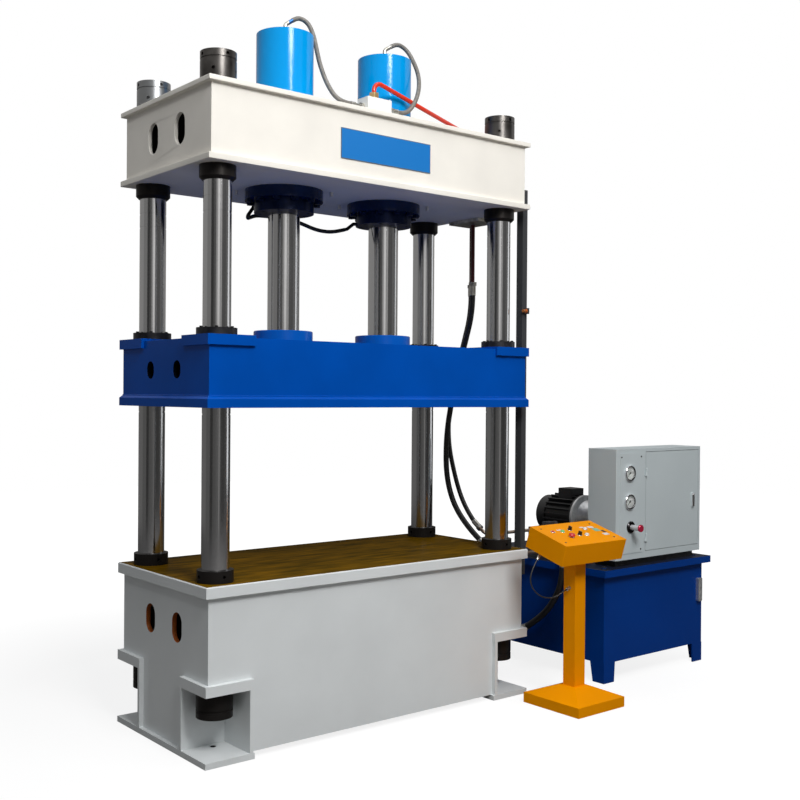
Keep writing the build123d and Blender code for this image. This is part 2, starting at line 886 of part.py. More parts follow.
def bent_pipe(points, dia, bend):
    """A rigid pipe with one bend radius."""
    path = FilletPolyline(*points, radius=bend)
    section = frame_along(points[0], points[1]) * Circle(dia / 2)
    return sweep(section, path=path)


def hose_radii(points):
    """Each corner's arc is as large as its two runs allow."""
    nodes = [Vector(*p) for p in points]
    runs = [b - a for a, b in zip(nodes, nodes[1:])]
    radii = []
    for before, after in zip(runs, runs[1:]):
        half_turn = math.radians(before.get_angle(after) / 2)
        radii.append(0.45 * min(before.length, after.length) / math.tan(half_turn))
    return radii


def hose(name, points, dia, least):
    """A round hose along straight runs joined by tangent arcs."""
    radii = hose_radii(points)
    path = FilletPolyline(*points, radius=radii)
    tube = sweep(frame_along(points[0], points[1]) * Circle(dia / 2), path=path)
    expected = math.pi * dia ** 2 / 4 * path.length
    smallest = min(radii)
    note = "tight" if smallest < least * dia else "fine"
    print(f"{name}: length {path.length:.0f}, smallest bend {smallest:.0f} ({note}),",
          f"volume / expected {tube.volume / expected:.4f}")
    print("   bends", [round(r) for r in radii])
    return tube


def ferrule(start, end, dia, length, flats):
    """The crimped sleeve and hex nut behind a hose end; start is the hose's end, end the next point inward."""
    plane = Plane(origin=start, z_dir=Vector(*start) - Vector(*end))
    sleeve = Cylinder(dia / 2, length, align=(Align.CENTER, Align.CENTER, Align.MIN))
    nut = extrude(Pos(0, 0, length) * RegularPolygon(flats / 2, 6, major_radius=False), amount=flats / 2)
    return plane * (sleeve + nut)


def beyond(start, end, distance):
    """A point past a hose end, in line with it."""
    a = Vector(*start)
    out = (a - Vector(*end)).normalized()
    return tuple(a + out * distance)


def top_elbow(x, route):
    """The bent stub from a cylinder's cap to its hose, with the port nut it stands in."""
    start = route[0]
    run = Vector(*route[1]) - Vector(*start)
    knee_z = start[2] - (start[0] - x) * run.Z / run.X
    path = [(x, 0, barrel_top_z), (x, 0, knee_z), start]
    base = hex_head((pipe_nut_flats - 10, 14), barrel_top_z, x)
    return bent_pipe(path, elbow_dia, elbow_bend) + base


def side_fitting(route, face_x):
    """A straight fitting from a hose end to the manifold's side."""
    end = route[-1]
    side = 1 if face_x > end[0] else -1
    turn = 90 * side
    length = abs(face_x - end[0])
    at = Pos(*end) * Rot(0, turn, 0)
    sleeve = at * Cylinder(top_hose_dia / 2 + 2, 32, align=(Align.CENTER, Align.CENTER, Align.MIN))
    stem = at * Cylinder(elbow_dia / 2, length, align=(Align.CENTER, Align.CENTER, Align.MIN))
    nut = at * extrude(Pos(0, 0, length - 20) * RegularPolygon(17, 6, major_radius=False), amount=20)
    return sleeve + stem + nut


def link_elbows():
    """The hooked tube at the left flange and the elbow on the right gland."""
    start = link_hose_route[0]
    knee = beyond(start, link_hose_route[1], 50)
    port_turn = math.radians(link_flange_turn)
    port_x = -cylinder_x + flange_bolt_circle / 2 * math.cos(port_turn)
    port_y = flange_bolt_circle / 2 * math.sin(port_turn)
    neck = (port_x, port_y, flange_bottom_z - link_neck)
    hook = bent_pipe([(port_x, port_y, flange_bottom_z), neck, knee, start], elbow_dia - 2, 11)
    turn = math.radians(link_port_turn)
    normal = Vector(math.cos(turn), math.sin(turn), 0)
    port = Vector(cylinder_x, 0, gland_bottom_z + elbow_dia / 2 + 2) + normal * (gland_dia / 2 - link_flat_depth)
    end = link_hose_route[-1]
    out = beyond(end, link_hose_route[-2], link_neck)
    elbow = bent_pipe([tuple(port), tuple(port + normal * link_neck), out, end], elbow_dia - 2, 11)
    return [hook, elbow]


def hose_fittings():
    pieces = [
        top_elbow(-cylinder_x, top_hose_left_route),
        top_elbow(cylinder_x, top_hose_right_route),
        side_fitting(top_hose_left_route, manifold_left_x),
        side_fitting(top_hose_right_route, manifold_left_x + manifold_length),
    ]
    pieces += link_elbows()
    drop_hoses = ((drop_hose_main_route, drop_hose_dia, 62), (drop_hose_return_route, return_hose_dia, 55))
    for route, dia, length in drop_hoses:
        for start, end in ((route[0], route[1]), (route[-1], route[-2])):
            pieces.append(ferrule(start, end, dia + 6, length, dia + 10))
    supply = supply_hose_route
    for start, end in ((supply[0], supply[1]), (supply[-1], supply[-2])):
        pieces.append(ferrule(start, end, supply_hose_dia + 4, 30, supply_hose_dia + 8))
    return pieces


def ferrule_end(route, first, dia, length):
    """Where the pipe leaves the nut of a hose's ferrule."""
    start, end = (route[0], route[1]) if first else (route[-1], route[-2])
    return beyond(start, end, length + (dia + 10) / 2)


def pipe_clamp():
    """The bar under the crown's right end that holds both pipes."""
    top_z = crown_bottom_z
    bar = block(half_length - clamp_reach, return_x + return_pipe_dia, clamp_front_y,
                return_y + 2 * return_pipe_dia, top_z - clamp_thickness, top_z)
    for x, y, dia in ((drop_x, drop_y, pressure_pipe_dia), (return_x, return_y, return_pipe_dia)):
        bar -= disc(dia + 2 * static_clear, top_z - clamp_thickness - 1, top_z + 1, x, y)
    return bar


def pressure_pipe():
    """The red pipe over the crown and down its right end."""
    end = ferrule_end(drop_hose_main_route, True, drop_hose_dia, 62)
    points = [
        (pressure_pipe_x, hose_port_y, manifold_top_z),
        (pressure_pipe_x, hose_port_y, manifold_top_z + pressure_pipe_rise),
        pressure_pipe_knee,
        (drop_x, drop_y, drop_turn_z),
        (drop_x, drop_y, end[2]),
    ]
    return bent_pipe(points, pressure_pipe_dia, pressure_pipe_bend)


def oil_pipes():
    """The plain pipes: down from the crown, along to the valve block, and from the pump."""
    wall_x = half_length - crown_wall_inset
    top_end = ferrule_end(drop_hose_return_route, True, return_hose_dia, 55)
    down = bent_pipe([(wall_x - crown_wall, return_y, return_turn_z), (return_x, return_y, return_turn_z),
                      (return_x, return_y, top_end[2])], return_pipe_dia, pressure_pipe_bend)
    main_end = ferrule_end(drop_hose_main_route, False, drop_hose_dia, 62)
    main_out = beyond(main_end, drop_hose_main_route[-1], 60)
    main = bent_pipe([main_end, main_out, (valve_block_x, main_out[1], main_out[2])],
                     pressure_pipe_dia, 40)
    back_end = ferrule_end(drop_hose_return_route, False, return_hose_dia, 55)
    back_out = beyond(back_end, drop_hose_return_route[-1], 60)
    back = bent_pipe([back_end, back_out, (valve_block_x, back_out[1], back_out[2])],
                     return_pipe_dia, 40)
    top = supply_hose_route[0]
    top_out = beyond(top, supply_hose_route[1], 30 + 25 + 55)
    top_start = beyond(top, supply_hose_route[1], 30 + 25)
    upper = bent_pipe([top_start, top_out, (valve_block_x, top_out[1], top_out[2])], 34, 36)
    low = supply_hose_route[-1]
    low_out = beyond(low, supply_hose_route[-2], 30 + 25 + 50)
    low_start = beyond(low, supply_hose_route[-2], 30 + 25)
    lower = bent_pipe([low_start, low_out, (tank_left_x, low_out[1], low_out[2])], 34, 36)
    pump_y = motor_flange_y - bell_length - pump_length / 2
    left_x = motor_x - pump_dia / 2 - 20
    corner_x = (valve_block_x + valve_block_length + left_x) / 2
    low_z = (lid_top_z + motor_z) / 2
    feed = bent_pipe([(left_x, pump_y, motor_z), (corner_x, pump_y, motor_z), (corner_x, pump_y, low_z),
                      (valve_block_x + valve_block_length, pump_y, low_z)], return_pipe_dia, 25)
    return group([down, main, back, upper, lower, feed])


def limit_rail():
    x0 = rail_x - rail_width / 2
    x1 = rail_x + rail_width / 2
    y0 = rail_y - rail_depth / 2
    y1 = rail_y + rail_depth / 2
    channel = block(x0, x1, y0, y1, rail_bottom_z, rail_top_z)
    channel -= block(x0 + rail_web, x1 + 1, y0 + rail_web, y1 - rail_web, rail_bottom_z - 1, rail_top_z + 1)
    half = rail_arm_size / 2
    arms = []
    for wall_x, z in ((half_length - crown_wall_inset, rail_top_z - rail_arm_inset),
                      (half_length - bed_wall_inset, rail_bottom_z + rail_arm_inset + half / 2)):
        arms.append(block(wall_x, x0, rail_y - half, rail_y + half, z - half, z + half))
    switch_y = y0 - switch_dia
    half_plate = switch_bracket / 2
    plate = block(rail_x - half_plate, rail_x + half_plate, switch_y - switch_dia, y0,
                  switch_z - switch_dia, switch_z + switch_dia)
    hole = Pos(rail_x, switch_y, switch_z) * Rot(0, 90, 0) * Cylinder(switch_dia / 2 + static_clear, rail_width)
    return channel + arms + (plate - hole)


def limit_switch():
    """Round switch with a lock nut on each side of its bracket."""
    switch_y = rail_y - rail_depth / 2 - switch_dia
    at = Pos(half_length + switch_gap, switch_y, switch_z) * Rot(0, 90, 0)
    barrel = at * Cylinder(switch_dia / 2, switch_length, align=(Align.CENTER, Align.CENTER, Align.MIN))
    bracket_at = rail_x - switch_bracket / 2 - half_length - switch_gap
    nut = extrude(RegularPolygon(switch_nut[0] / 2, 6, major_radius=False), amount=switch_nut[1])
    front = at * Pos(0, 0, bracket_at - switch_nut[1]) * nut
    back = at * Pos(0, 0, bracket_at + switch_bracket) * nut
    return barrel + front + back


def tank_body():
    tank_top_z = lid_plate_z
    outer = block(tank_left_x, tank_right_x, tank_front_y, tank_rear_y, tank_bottom_z, tank_top_z)
    upright = outer.edges().filter_by(Axis.Z)
    outer = fillet(upright, 6)
    inner = block(tank_left_x + tank_wall, tank_right_x - tank_wall, tank_front_y + tank_wall,
                  tank_rear_y - tank_wall, tank_bottom_z + tank_wall, tank_top_z + 1)
    body = outer - inner
    port = supply_hose_route[-1]
    low_out = beyond(port, supply_hose_route[-2], 105)
    boss = Pos(tank_left_x, low_out[1], low_out[2]) * Rot(0, 90, 0) * Cylinder(15, 4 * tank_wall)
    body -= boss
    for sx, x in ((1, tank_left_x), (-1, tank_right_x)):
        for sy, y in ((1, tank_front_y), (-1, tank_rear_y)):
            body += tank_leg(sx, sy, x, y)
    return body


def angle_outline(sx, sy, x, y, size):
    """The outline of an angle leg with its corner at x, y."""
    width, depth = size
    along = Pos(x + sx * width / 2, y + sy * leg_wall / 2) * Rectangle(width, leg_wall)
    return along + Pos(x + sx * leg_wall / 2, y + sy * depth / 2) * Rectangle(leg_wall, depth)


def tank_leg(sx, sy, x, y):
    top = Pos(0, 0, tank_bottom_z) * angle_outline(sx, sy, x, y, leg_top)
    foot = angle_outline(sx, sy, x, y, leg_bottom)
    return loft([foot, top])


def tank_lid():
    x0 = tank_left_x - lid_overhang
    x1 = tank_right_x + lid_overhang
    y0 = tank_front_y - lid_overhang
    y1 = tank_rear_y + lid_overhang
    cover = block(x0, x1, y0, y1, lid_top_z - lid_skirt, lid_top_z)
    cover = fillet(cover.edges().filter_by(Axis.Z), 5)
    cover -= block(x0 + lid_skirt_wall, x1 - lid_skirt_wall, y0 + lid_skirt_wall, y1 - lid_skirt_wall,
                   lid_top_z - lid_skirt - 1, lid_plate_z)
    pump_y = motor_flange_y - bell_length - pump_length / 2
    cover -= disc(suction_pipe_dia + 2 * static_clear, lid_plate_z - 1, lid_top_z + 1, motor_x, pump_y)
    for x in (tank_left_x + lid_plug_inset, tank_right_x - lid_plug_inset):
        for y in (tank_front_y + lid_plug_inset, tank_rear_y - lid_plug_inset):
            cover += disc(lid_plug_dia, lid_top_z, lid_top_z + 3, x, y)
    y_mid = motor_flange_y + motor_length / 2
    half_w = stand_width / 2
    half_l = stand_length / 2
    top = block(motor_x - half_w, motor_x + half_w, y_mid - half_l, y_mid + half_l,
                motor_foot_z - stand_plate, motor_foot_z)
    sides = []
    for s in SIDES:
        x = motor_x + s * (half_w - stand_plate)
        sides.append(block(x - stand_plate / 2, x + stand_plate / 2, y_mid - half_l, y_mid + half_l,
                           lid_top_z, motor_foot_z - stand_plate))
    return cover + top + sides


def level_gauge():
    """Sight gauge on the tank's front: a metal frame and the clear tube behind its window."""
    x0 = level_gauge_x - level_gauge_width / 2
    x1 = level_gauge_x + level_gauge_width / 2
    z0 = level_gauge_z - level_gauge_height / 2
    z1 = level_gauge_z + level_gauge_height / 2
    frame = block(x0, x1, tank_front_y - level_gauge_depth, tank_front_y, z0, z1)
    frame = fillet(frame.edges().filter_by(Axis.Y), 8)
    wx = level_window_width / 2
    wz = level_window_height / 2
    frame -= block(level_gauge_x - wx, level_gauge_x + wx, tank_front_y - level_gauge_depth - 1,
                   tank_front_y - level_gauge_depth / 2, level_gauge_z - wz, level_gauge_z + wz)
    glass = disc(level_window_width - 4, level_gauge_z - wz, level_gauge_z + wz, level_gauge_x,
                 tank_front_y - level_gauge_depth / 2 - (level_window_width - 4) / 2)
    return group([frame, glass])


def cabinet_plinth():
    x0 = cabinet_left_x + plinth_inset
    x1 = cabinet_left_x + cabinet_length - plinth_inset
    y0 = tank_front_y + plinth_inset
    y1 = cabinet_rear_y - plinth_inset
    outer = block(x0, x1, y0, y1, lid_top_z, cabinet_bottom_z)
    return outer - block(x0 + plinth_wall, x1 - plinth_wall, y0 + plinth_wall, y1 - plinth_wall,
                         lid_top_z - 1, cabinet_bottom_z + 1)


def cabinet_shell():
    x0 = cabinet_left_x
    x1 = cabinet_left_x + cabinet_length
    y0 = tank_front_y
    y1 = cabinet_rear_y
    outer = block(x0, x1, y0, y1, cabinet_bottom_z, cabinet_top_z)
    outer = fillet(outer.edges().filter_by(Axis.Z), 4)
    t = cabinet_sheet
    body = outer - block(x0 + t, x1 - t, y0 + t, y1 - t, cabinet_bottom_z + t, cabinet_top_z - t)
    body -= block(door_left_x - door_gap, door_left_x + door_width + door_gap, y0 - 1, y0 + t + 1,
                  door_bottom_z - door_gap, door_bottom_z + door_height + door_gap)
    body -= block(panel_left_x + 20, panel_left_x + panel_width - 20, y0 - 1, y0 + t + 1,
                  panel_bottom_z + 20, panel_bottom_z + panel_height - 20)
    for z in hinge_levels:
        body += hinge_knuckle(z - hinge_height / 2, z)
        body += block(hinge_x - hinge_dia, hinge_x, hinge_y, tank_front_y, z - hinge_height / 2, z)
        body -= disc(hinge_pin_dia + 2 * running_clear, z - hinge_height, z, hinge_x, hinge_y)
    for sx in SIDES:
        for sz in SIDES:
            x = gear_x + sx * (gear_plate_width / 2 - 30)
            z = gear_z + sz * (gear_plate_height / 2 - 30)
            stud = Pos(x, y1 - t, z) * Rot(90, 0, 0)
            body += stud * Cylinder(7, gear_stud_length, align=(Align.CENTER, Align.CENTER, Align.MIN))
    return body


hinge_x = door_left_x - door_gap / 2
hinge_y = tank_front_y - hinge_dia / 2
gear_x = door_left_x + door_width / 2
gear_z = door_bottom_z + door_height / 2


def hinge_knuckle(z0, z1):
    return disc(hinge_dia, z0, z1, hinge_x, hinge_y)


def control_gear():
    """The gear plate on its studs, with rails of switchgear."""
    back_y = cabinet_rear_y - cabinet_sheet - gear_stud_length
    half_w = gear_plate_width / 2
    half_h = gear_plate_height / 2
    plate = block(gear_x - half_w, gear_x + half_w, back_y - gear_plate_sheet, back_y,
                  gear_z - half_h, gear_z + half_h)
    front_y = back_y - gear_plate_sheet
    rows = ((170, 5, 45, 80, 62), (0, 3, 90, 110, 78), (-170, 8, 24, 70, 48))
    pieces = [plate]
    for offset, count, width, height, depth in rows:
        z = gear_z + offset
        rail = block(gear_x - half_w + 30, gear_x + half_w - 30, front_y - 8, front_y, z - 17, z + 17)
        plate += rail
        pitch = (gear_plate_width - 2 * gear_margin) / count
        for i in range(count):
            x = gear_x - half_w + gear_margin + pitch * (i + 0.5)
            pieces.append(block(x - width / 2, x + width / 2, front_y - 8 - depth, front_y - 8,
                                z - height / 2, z + height / 2))
    pieces[0] = plate
    return group(pieces)


def front_plane(x, z):
    """Plane on the instrument panel's face: across, up, and out of the panel."""
    return Plane(origin=(x, panel_front_y, z), x_dir=(1, 0, 0), z_dir=(0, -1, 0))


def instrument_panel():
    x0 = panel_left_x
    plate = block(x0, x0 + panel_width, panel_front_y, tank_front_y, panel_bottom_z, panel_bottom_z + panel_height)
    holes = [front_plane(gauge_x, z) * Cylinder(gauge_case_dia / 2 + static_clear, 4 * panel_thickness)
             for z in gauge_levels]
    holes.append(front_plane(valve_x, valve_z) * Cylinder(bezel_stem_dia / 2 + static_clear, 4 * panel_thickness))
    return plate - holes


def gauge_cases():
    """Pressure gauges: case, bezel and dial turned about the needle's spindle."""
    r_case = gauge_case_dia / 2
    r_bezel = gauge_bezel_dia / 2
    r_dial = gauge_dial_dia / 2
    r_lens = gauge_lens_dia / 2
    bore = needle_spindle_dia / 2 + running_clear
    seat = gauge_dial_height
    case = turned(
        (0, -gauge_case_depth), (r_case, -gauge_case_depth), (r_case, 0), (r_bezel, 0),
        (r_bezel, gauge_bezel_height - 2), (r_bezel - 2, gauge_bezel_height), (r_lens, gauge_bezel_height),
        (r_lens, gauge_lens_height), (r_dial, gauge_lens_height), (r_dial, seat), (bore, seat),
        (bore, seat - 8), (0, seat - 8))
    return group(front_plane(gauge_x, z) * case for z in gauge_levels)


def gauge_lenses():
    lens = Pos(0, 0, gauge_lens_height + gauge_lens_thickness / 2)
    glass = lens * Cylinder(gauge_lens_dia / 2 - static_clear, gauge_lens_thickness)
    return group(front_plane(gauge_x, z) * glass for z in gauge_levels)


def gauge_needle(z):
    low = gauge_dial_height + 1.5
    pointer = Polygon((-needle_tail, -needle_width), (needle_length, -0.5), (needle_length, 0.5),
                      (-needle_tail, needle_width), align=None)
    blade = extrude(Pos(0, 0, low) * pointer, amount=needle_thickness)
    spindle = Pos(0, 0, gauge_dial_height - 7) * Cylinder(
        needle_spindle_dia / 2, low + needle_thickness - gauge_dial_height + 7,
        align=(Align.CENTER, Align.CENTER, Align.MIN))
    hub = Pos(0, 0, low) * Cylinder(
        needle_spindle_dia, needle_thickness + 1, align=(Align.CENTER, Align.CENTER, Align.MIN))
    return front_plane(gauge_x, z) * Rot(0, 0, needle_rest_angle) * (blade + spindle + hub)


def cabinet_door():
    x0 = door_left_x
    x1 = door_left_x + door_width
    z0 = door_bottom_z
    z1 = door_bottom_z + door_height
    y0 = tank_front_y
    t = door_sheet
    pan = block(x0, x1, y0, y0 + door_thickness, z0, z1)
    pan -= block(x0 + t, x1 - t, y0 + t, y0 + door_thickness + 1, z0 + t, z1 - t)
    pan -= Pos(handle_x, y0, handle_z) * Rot(90, 0, 0) * Cylinder(handle_spindle_dia / 2 + running_clear, 6 * t)
    for z in hinge_levels:
        pan += hinge_knuckle(z + static_clear, z + hinge_height / 2)
        pan += block(hinge_x, hinge_x + hinge_dia, hinge_y, y0, z + static_clear, z + hinge_height / 2)
        pan += disc(hinge_pin_dia, z - hinge_height / 2 + 2, z + 1, hinge_x, hinge_y)
    base = Pos(handle_x, y0, handle_z) * Rot(90, 0, 0) * extrude(
        SlotOverall(handle_height, handle_width, rotation=90), amount=handle_base)
    base -= Pos(handle_x, y0, handle_z) * Rot(90, 0, 0) * Cylinder(handle_spindle_dia / 2 + running_clear, 6 * t)
    return pan + base


def door_handle():
    """Oval lever, spindle through the door and the cam behind it."""
    at = Pos(handle_x, tank_front_y - handle_base - cap_seat_gap, handle_z) * Rot(90, 0, 0)
    lever = extrude(SlotOverall(handle_height - 12, handle_width - 12, rotation=90), amount=handle_lever)
    lever = fillet(lever.faces().sort_by(Axis.Z)[-1].edges(), 3)
    back = -(handle_base + cap_seat_gap + door_thickness)
    cam_low = back - handle_cam_thickness - door_sheet
    spindle = Pos(0, 0, cam_low) * Cylinder(
        handle_spindle_dia / 2, 1 - cam_low, align=(Align.CENTER, Align.CENTER, Align.MIN))
    cam = Pos(0, (handle_cam_reach - handle_spindle_dia / 2) / 2, cam_low + handle_cam_thickness / 2) * Box(
        handle_cam_width, handle_cam_reach + handle_spindle_dia / 2, handle_cam_thickness)
    return at * (lever + spindle + cam)


def valve_bezel():
    """The dark collar on the instrument panel that the valve's stem turns in."""
    bore = valve_stem_dia / 2 + running_clear
    r = valve_collar_dia / 2
    h = valve_collar_height
    collar = turned(
        (bore, -bezel_stem_length), (bezel_stem_dia / 2, -bezel_stem_length), (bezel_stem_dia / 2, 0),
        (r, 0), (r, h - 4), (r - 4, h), (bore, h))
    return front_plane(valve_x, valve_z) * collar


def valve_handle():
    """Adjusting rod on its stem, with the red cap on its end."""
    low = valve_collar_height + cap_seat_gap
    top = valve_rod_length + valve_cap_height
    r_stem = valve_stem_dia / 2
    r_rod = valve_rod_dia / 2
    r_cap = valve_cap_dia / 2
    handle = turned(
        (0, -cap_stem_length), (r_stem, -cap_stem_length), (r_stem, low), (r_rod, low), (r_rod, valve_rod_length),
        (r_cap, valve_rod_length), (r_cap, top - 2), (r_cap - 2, top), (0, top))
    return front_plane(valve_x, valve_z) * handle


def motor_plane():
    """Motor axis: out of the flange face towards the fan."""
    return Plane(origin=(motor_x, motor_flange_y, motor_z), x_dir=(1, 0, 0), z_dir=(0, 1, 0))


def motor_frame():
    r_body = motor_body_dia / 2
    r_bore = motor_bore / 2
    r_shaft = shaft_dia / 2 + running_clear
    e = motor_end_wall
    n = motor_length
    body = turned(
        (r_shaft, 0), (motor_fin_dia / 2, 0), (motor_fin_dia / 2, e), (r_body, e), (r_body, n), (r_shaft, n),
        (r_shaft, n - e), (r_bore, n - e), (r_bore, e), (r_shaft, e))
    fins = []
    for i in range(motor_fins):
        reach = (motor_fin_dia / 2 + r_body) / 2 - 5
        fin = Pos(reach, 0, (n + e) / 2 - 8) * Box(motor_fin_dia / 2 - r_body + 10, motor_fin_thickness, n - e - 16)
        fins.append(Rot(0, 0, 360 * (i + 0.5) / motor_fins) * fin)
    box = Pos(0, -r_body - 30, n * 0.45) * Box(120, 78, 120)
    body = body + fins + box
    body = motor_plane() * body
    y_mid = motor_flange_y + motor_length / 2
    for s in SIDES:
        x = motor_x + s * motor_foot_spread / 2
        foot = block(x - motor_foot_width / 2, x + motor_foot_width / 2, y_mid - 80, y_mid + 80,
                     motor_foot_z, motor_foot_z + motor_foot_height + 14)
        body += foot
    return body


def motor_rotor():
    """Rotor core on its shaft; the shaft carries the pump coupling at its front end."""
    r = shaft_dia / 2
    core = motor_bore / 2 - rotor_air_gap
    n = motor_length
    c0 = (n - rotor_core_length) / 2
    front = -coupling_length - 24
    rotor = turned(
        (0, front), (coupling_dia / 2, front), (coupling_dia / 2, front + coupling_length),
        (r, front + coupling_length),
        (r, c0), (core, c0), (core, c0 + rotor_core_length), (r, c0 + rotor_core_length),
        (r, n + fan_depth + 12), (0, n + fan_depth + 12))
    return motor_plane() * rotor


def motor_fan():
    r = shaft_dia / 2 + static_clear
    z0 = motor_length + 8
    hub = ring(fan_hub_dia, 2 * r, z0, z0 + fan_depth)
    blades = []
    for i in range(fan_blades):
        length = (fan_dia - fan_hub_dia) / 2 + 4
        x = fan_hub_dia / 2 - 4 + length / 2
        blade = Pos(x, 0, z0 + fan_depth / 2) * Box(length, 3, fan_depth)
        blades.append(Rot(0, 0, 360 * i / fan_blades) * blade)
    return motor_plane() * (hub + blades)


def fan_cover():
    r = fan_cover_dia / 2
    w = fan_cover_wall
    z0 = motor_length
    z1 = motor_length + fan_cover_depth
    seat = motor_body_dia / 2
    cup = turned(
        (seat, z0 - 12), (r, z0 - 12), (r, z1 - 10), (r - 10, z1), (0, z1), (0, z1 - w),
        (r - 10 - w / 2, z1 - w), (r - w, z1 - 10 - w / 2), (r - w, z0), (seat, z0))
    slots = []
    for i in range(fan_slots):
        slot = Pos(62, 0, z1 - w / 2) * Box(70, 9, 3 * w)
        slots.append(Rot(0, 0, 360 * i / fan_slots) * slot)
    return motor_plane() * (cup - slots)


def bell_housing():
    r0 = motor_fin_dia / 2
    r1 = bell_nose_dia / 2
    bore = coupling_dia / 2 + bell_wall
    n = bell_length
    f = bell_flange
    bell = turned(
        (bore, 0), (r0, 0), (r0, -f), (r1 + 18, -f - 14), (r1, -n + f), (r1, -n), (shaft_dia, -n),
        (shaft_dia, -n + f), (bore, -n + f))
    return motor_plane() * bell


def pump():
    n0 = -bell_length
    cover_z = n0 - pump_length + pump_cover
    body = disc(pump_dia, cover_z, n0) + disc(pump_cover_dia, n0 - pump_length, cover_z)
    mid = n0 - pump_length / 2
    body += Pos(-pump_dia / 2 + 5, 0, mid) * Box(50, 56, 56)
    body += Pos(0, pump_dia / 2 - 5, mid) * Box(60, 50, 60)
    return motor_plane() * body


def suction_strainer():
    """Suction pipe through the lid with the strainer at its lower end."""
    pump_y = motor_flange_y - bell_length - pump_length / 2
    port_z = motor_z - pump_dia / 2 - 20
    pipe = disc(suction_pipe_dia, strainer_bottom_z + strainer_height, port_z, motor_x, pump_y)
    basket = disc(strainer_dia, strainer_bottom_z, strainer_bottom_z + strainer_height, motor_x, pump_y)
    collar = disc(suction_pipe_dia + 30, lid_top_z, lid_top_z + 12, motor_x, pump_y)
    return pipe + basket + collar


def valve_block():
    x0 = valve_block_x
    x1 = valve_block_x + valve_block_length
    y0 = valve_block_front_y
    y1 = valve_block_front_y + valve_block_depth
    body = block(x0, x1, y0, y1, lid_top_z, valve_block_top_z)
    body = chamfer(body.edges().filter_by(Axis.Z), 4)
    y_mid = (y0 + y1) / 2
    x_mid = (x0 + x1) / 2
    for s in SIDES:
        y = y_mid + s * solenoid_spread / 2
        body += block(x_mid - 34, x_mid + 34, y - 26, y + 26, valve_block_top_z, valve_block_top_z + 40)
        coil_x = x_mid + solenoid_length / 2 - 6
        coil = Pos(coil_x, y, valve_block_top_z + 22) * Rot(0, 90, 0)
        body += coil * Cylinder(solenoid_dia / 2 - 4, solenoid_length)
    return body


def console_plane():
    """Plane on the console's face: across, up the slope from the front edge, and out of the face."""
    tilt = math.radians(face_tilt)
    return Plane(origin=(console_x, face_front_y, face_front_z), x_dir=(1, 0, 0),
                 z_dir=(0, -math.sin(tilt), math.cos(tilt)))


def console_stand():
    """Base shell with its sloping top, and the square post."""
    base = Pos(console_x, console_y, 0) * extrude(Rectangle(base_length, base_depth), amount=base_rim)
    slope = loft([
        Pos(console_x, console_y, base_rim) * Rectangle(base_length, base_depth),
        Pos(console_x, console_y, base_top_z) * Rectangle(base_neck, base_neck)])
    t = base_wall
    inside = Rectangle(base_length - 2 * t, base_depth - 2 * t)
    hollow = Pos(console_x, console_y, -1) * extrude(inside, amount=base_rim - t + 1)
    post = Pos(console_x, console_y, base_rim) * extrude(Rectangle(post_size, post_size), amount=face_front_z)
    body = base + slope - hollow + post
    over_z = face_front_z / 2 - box_thickness
    under = console_plane() * Pos(0, box_slant / 2, over_z) * Box(4 * box_length, 4 * box_slant, face_front_z)
    body -= under
    inner = post_size - 2 * post_wall
    bore = Pos(console_x, console_y, base_rim - t - 1) * extrude(Rectangle(inner, inner), amount=2 * face_front_z)
    return body - bore


def console_box():
    t = box_wall
    at = console_plane()
    depth = box_thickness - face_plate
    outer = Pos(0, box_slant / 2, -face_plate - depth / 2) * Box(box_length, box_slant, depth)
    outer = fillet(outer.edges().filter_by(Axis.Z), 4)
    inner = Pos(0, box_slant / 2, -face_plate - depth / 2 + t) * Box(box_length - 2 * t, box_slant - 2 * t, depth)
    shell = at * (outer - inner)
    inner_post = post_size - 2 * post_wall
    hole = Pos(console_x, console_y, face_front_z - box_thickness) * Box(inner_post, inner_post, 2 * box_thickness)
    far_side = at * Pos(0, box_slant / 2, 0) * Box(2 * box_length, 2 * box_slant, 2 * (box_thickness - 3 * t))
    return shell - (hole - far_side)


def device_at(place):
    return console_plane() * Pos(place[0], place[1], 0)


DEVICES = (red_button_at, green_lamp_at, selector_at, mushroom_at, black_knob_at, white_lamp_at, second_lamp_at)
LAMPS = (green_lamp_at, white_lamp_at, second_lamp_at)


def console_face():
    plate = console_plane() * Pos(0, box_slant / 2, -face_plate / 2) * Box(box_length, box_slant, face_plate)
    holes = [device_at(p) * Cylinder(device_hole_dia / 2, 4 * face_plate) for p in DEVICES]
    return plate - holes


def control_bezels():
    bore = cap_stem_dia / 2 + running_clear
    r = bezel_dia / 2
    bezel = turned((bore, -bezel_stem_length), (bezel_stem_dia / 2, -bezel_stem_length), (bezel_stem_dia / 2, 0),
                   (r, 0), (r, bezel_height - 1), (r - 1.5, bezel_height), (bore, bezel_height))
    bezels = [device_at(p) * bezel for p in DEVICES]
    return group(bezels + [valve_bezel()])


def cap_stem(rise):
    return Pos(0, 0, -cap_stem_length) * Cylinder(
        cap_stem_dia / 2, cap_stem_length + rise, align=(Align.CENTER, Align.CENTER, Align.MIN))


def indicator_lamps():
    r = bezel_dia / 2
    top = bezel_height + lamp_height
    lens = turned((0, bezel_height), (r - 3, bezel_height), (r - 4, top - 3), (r - 8, top), (0, top))
    return group(device_at(p) * (lens + cap_stem(bezel_height)) for p in LAMPS)


def red_button():
    cap = cap_stem(cap_rise)
    cap = chamfer(cap.faces().sort_by(Axis.Z)[-1].edges(), 1)
    return device_at(red_button_at) * cap


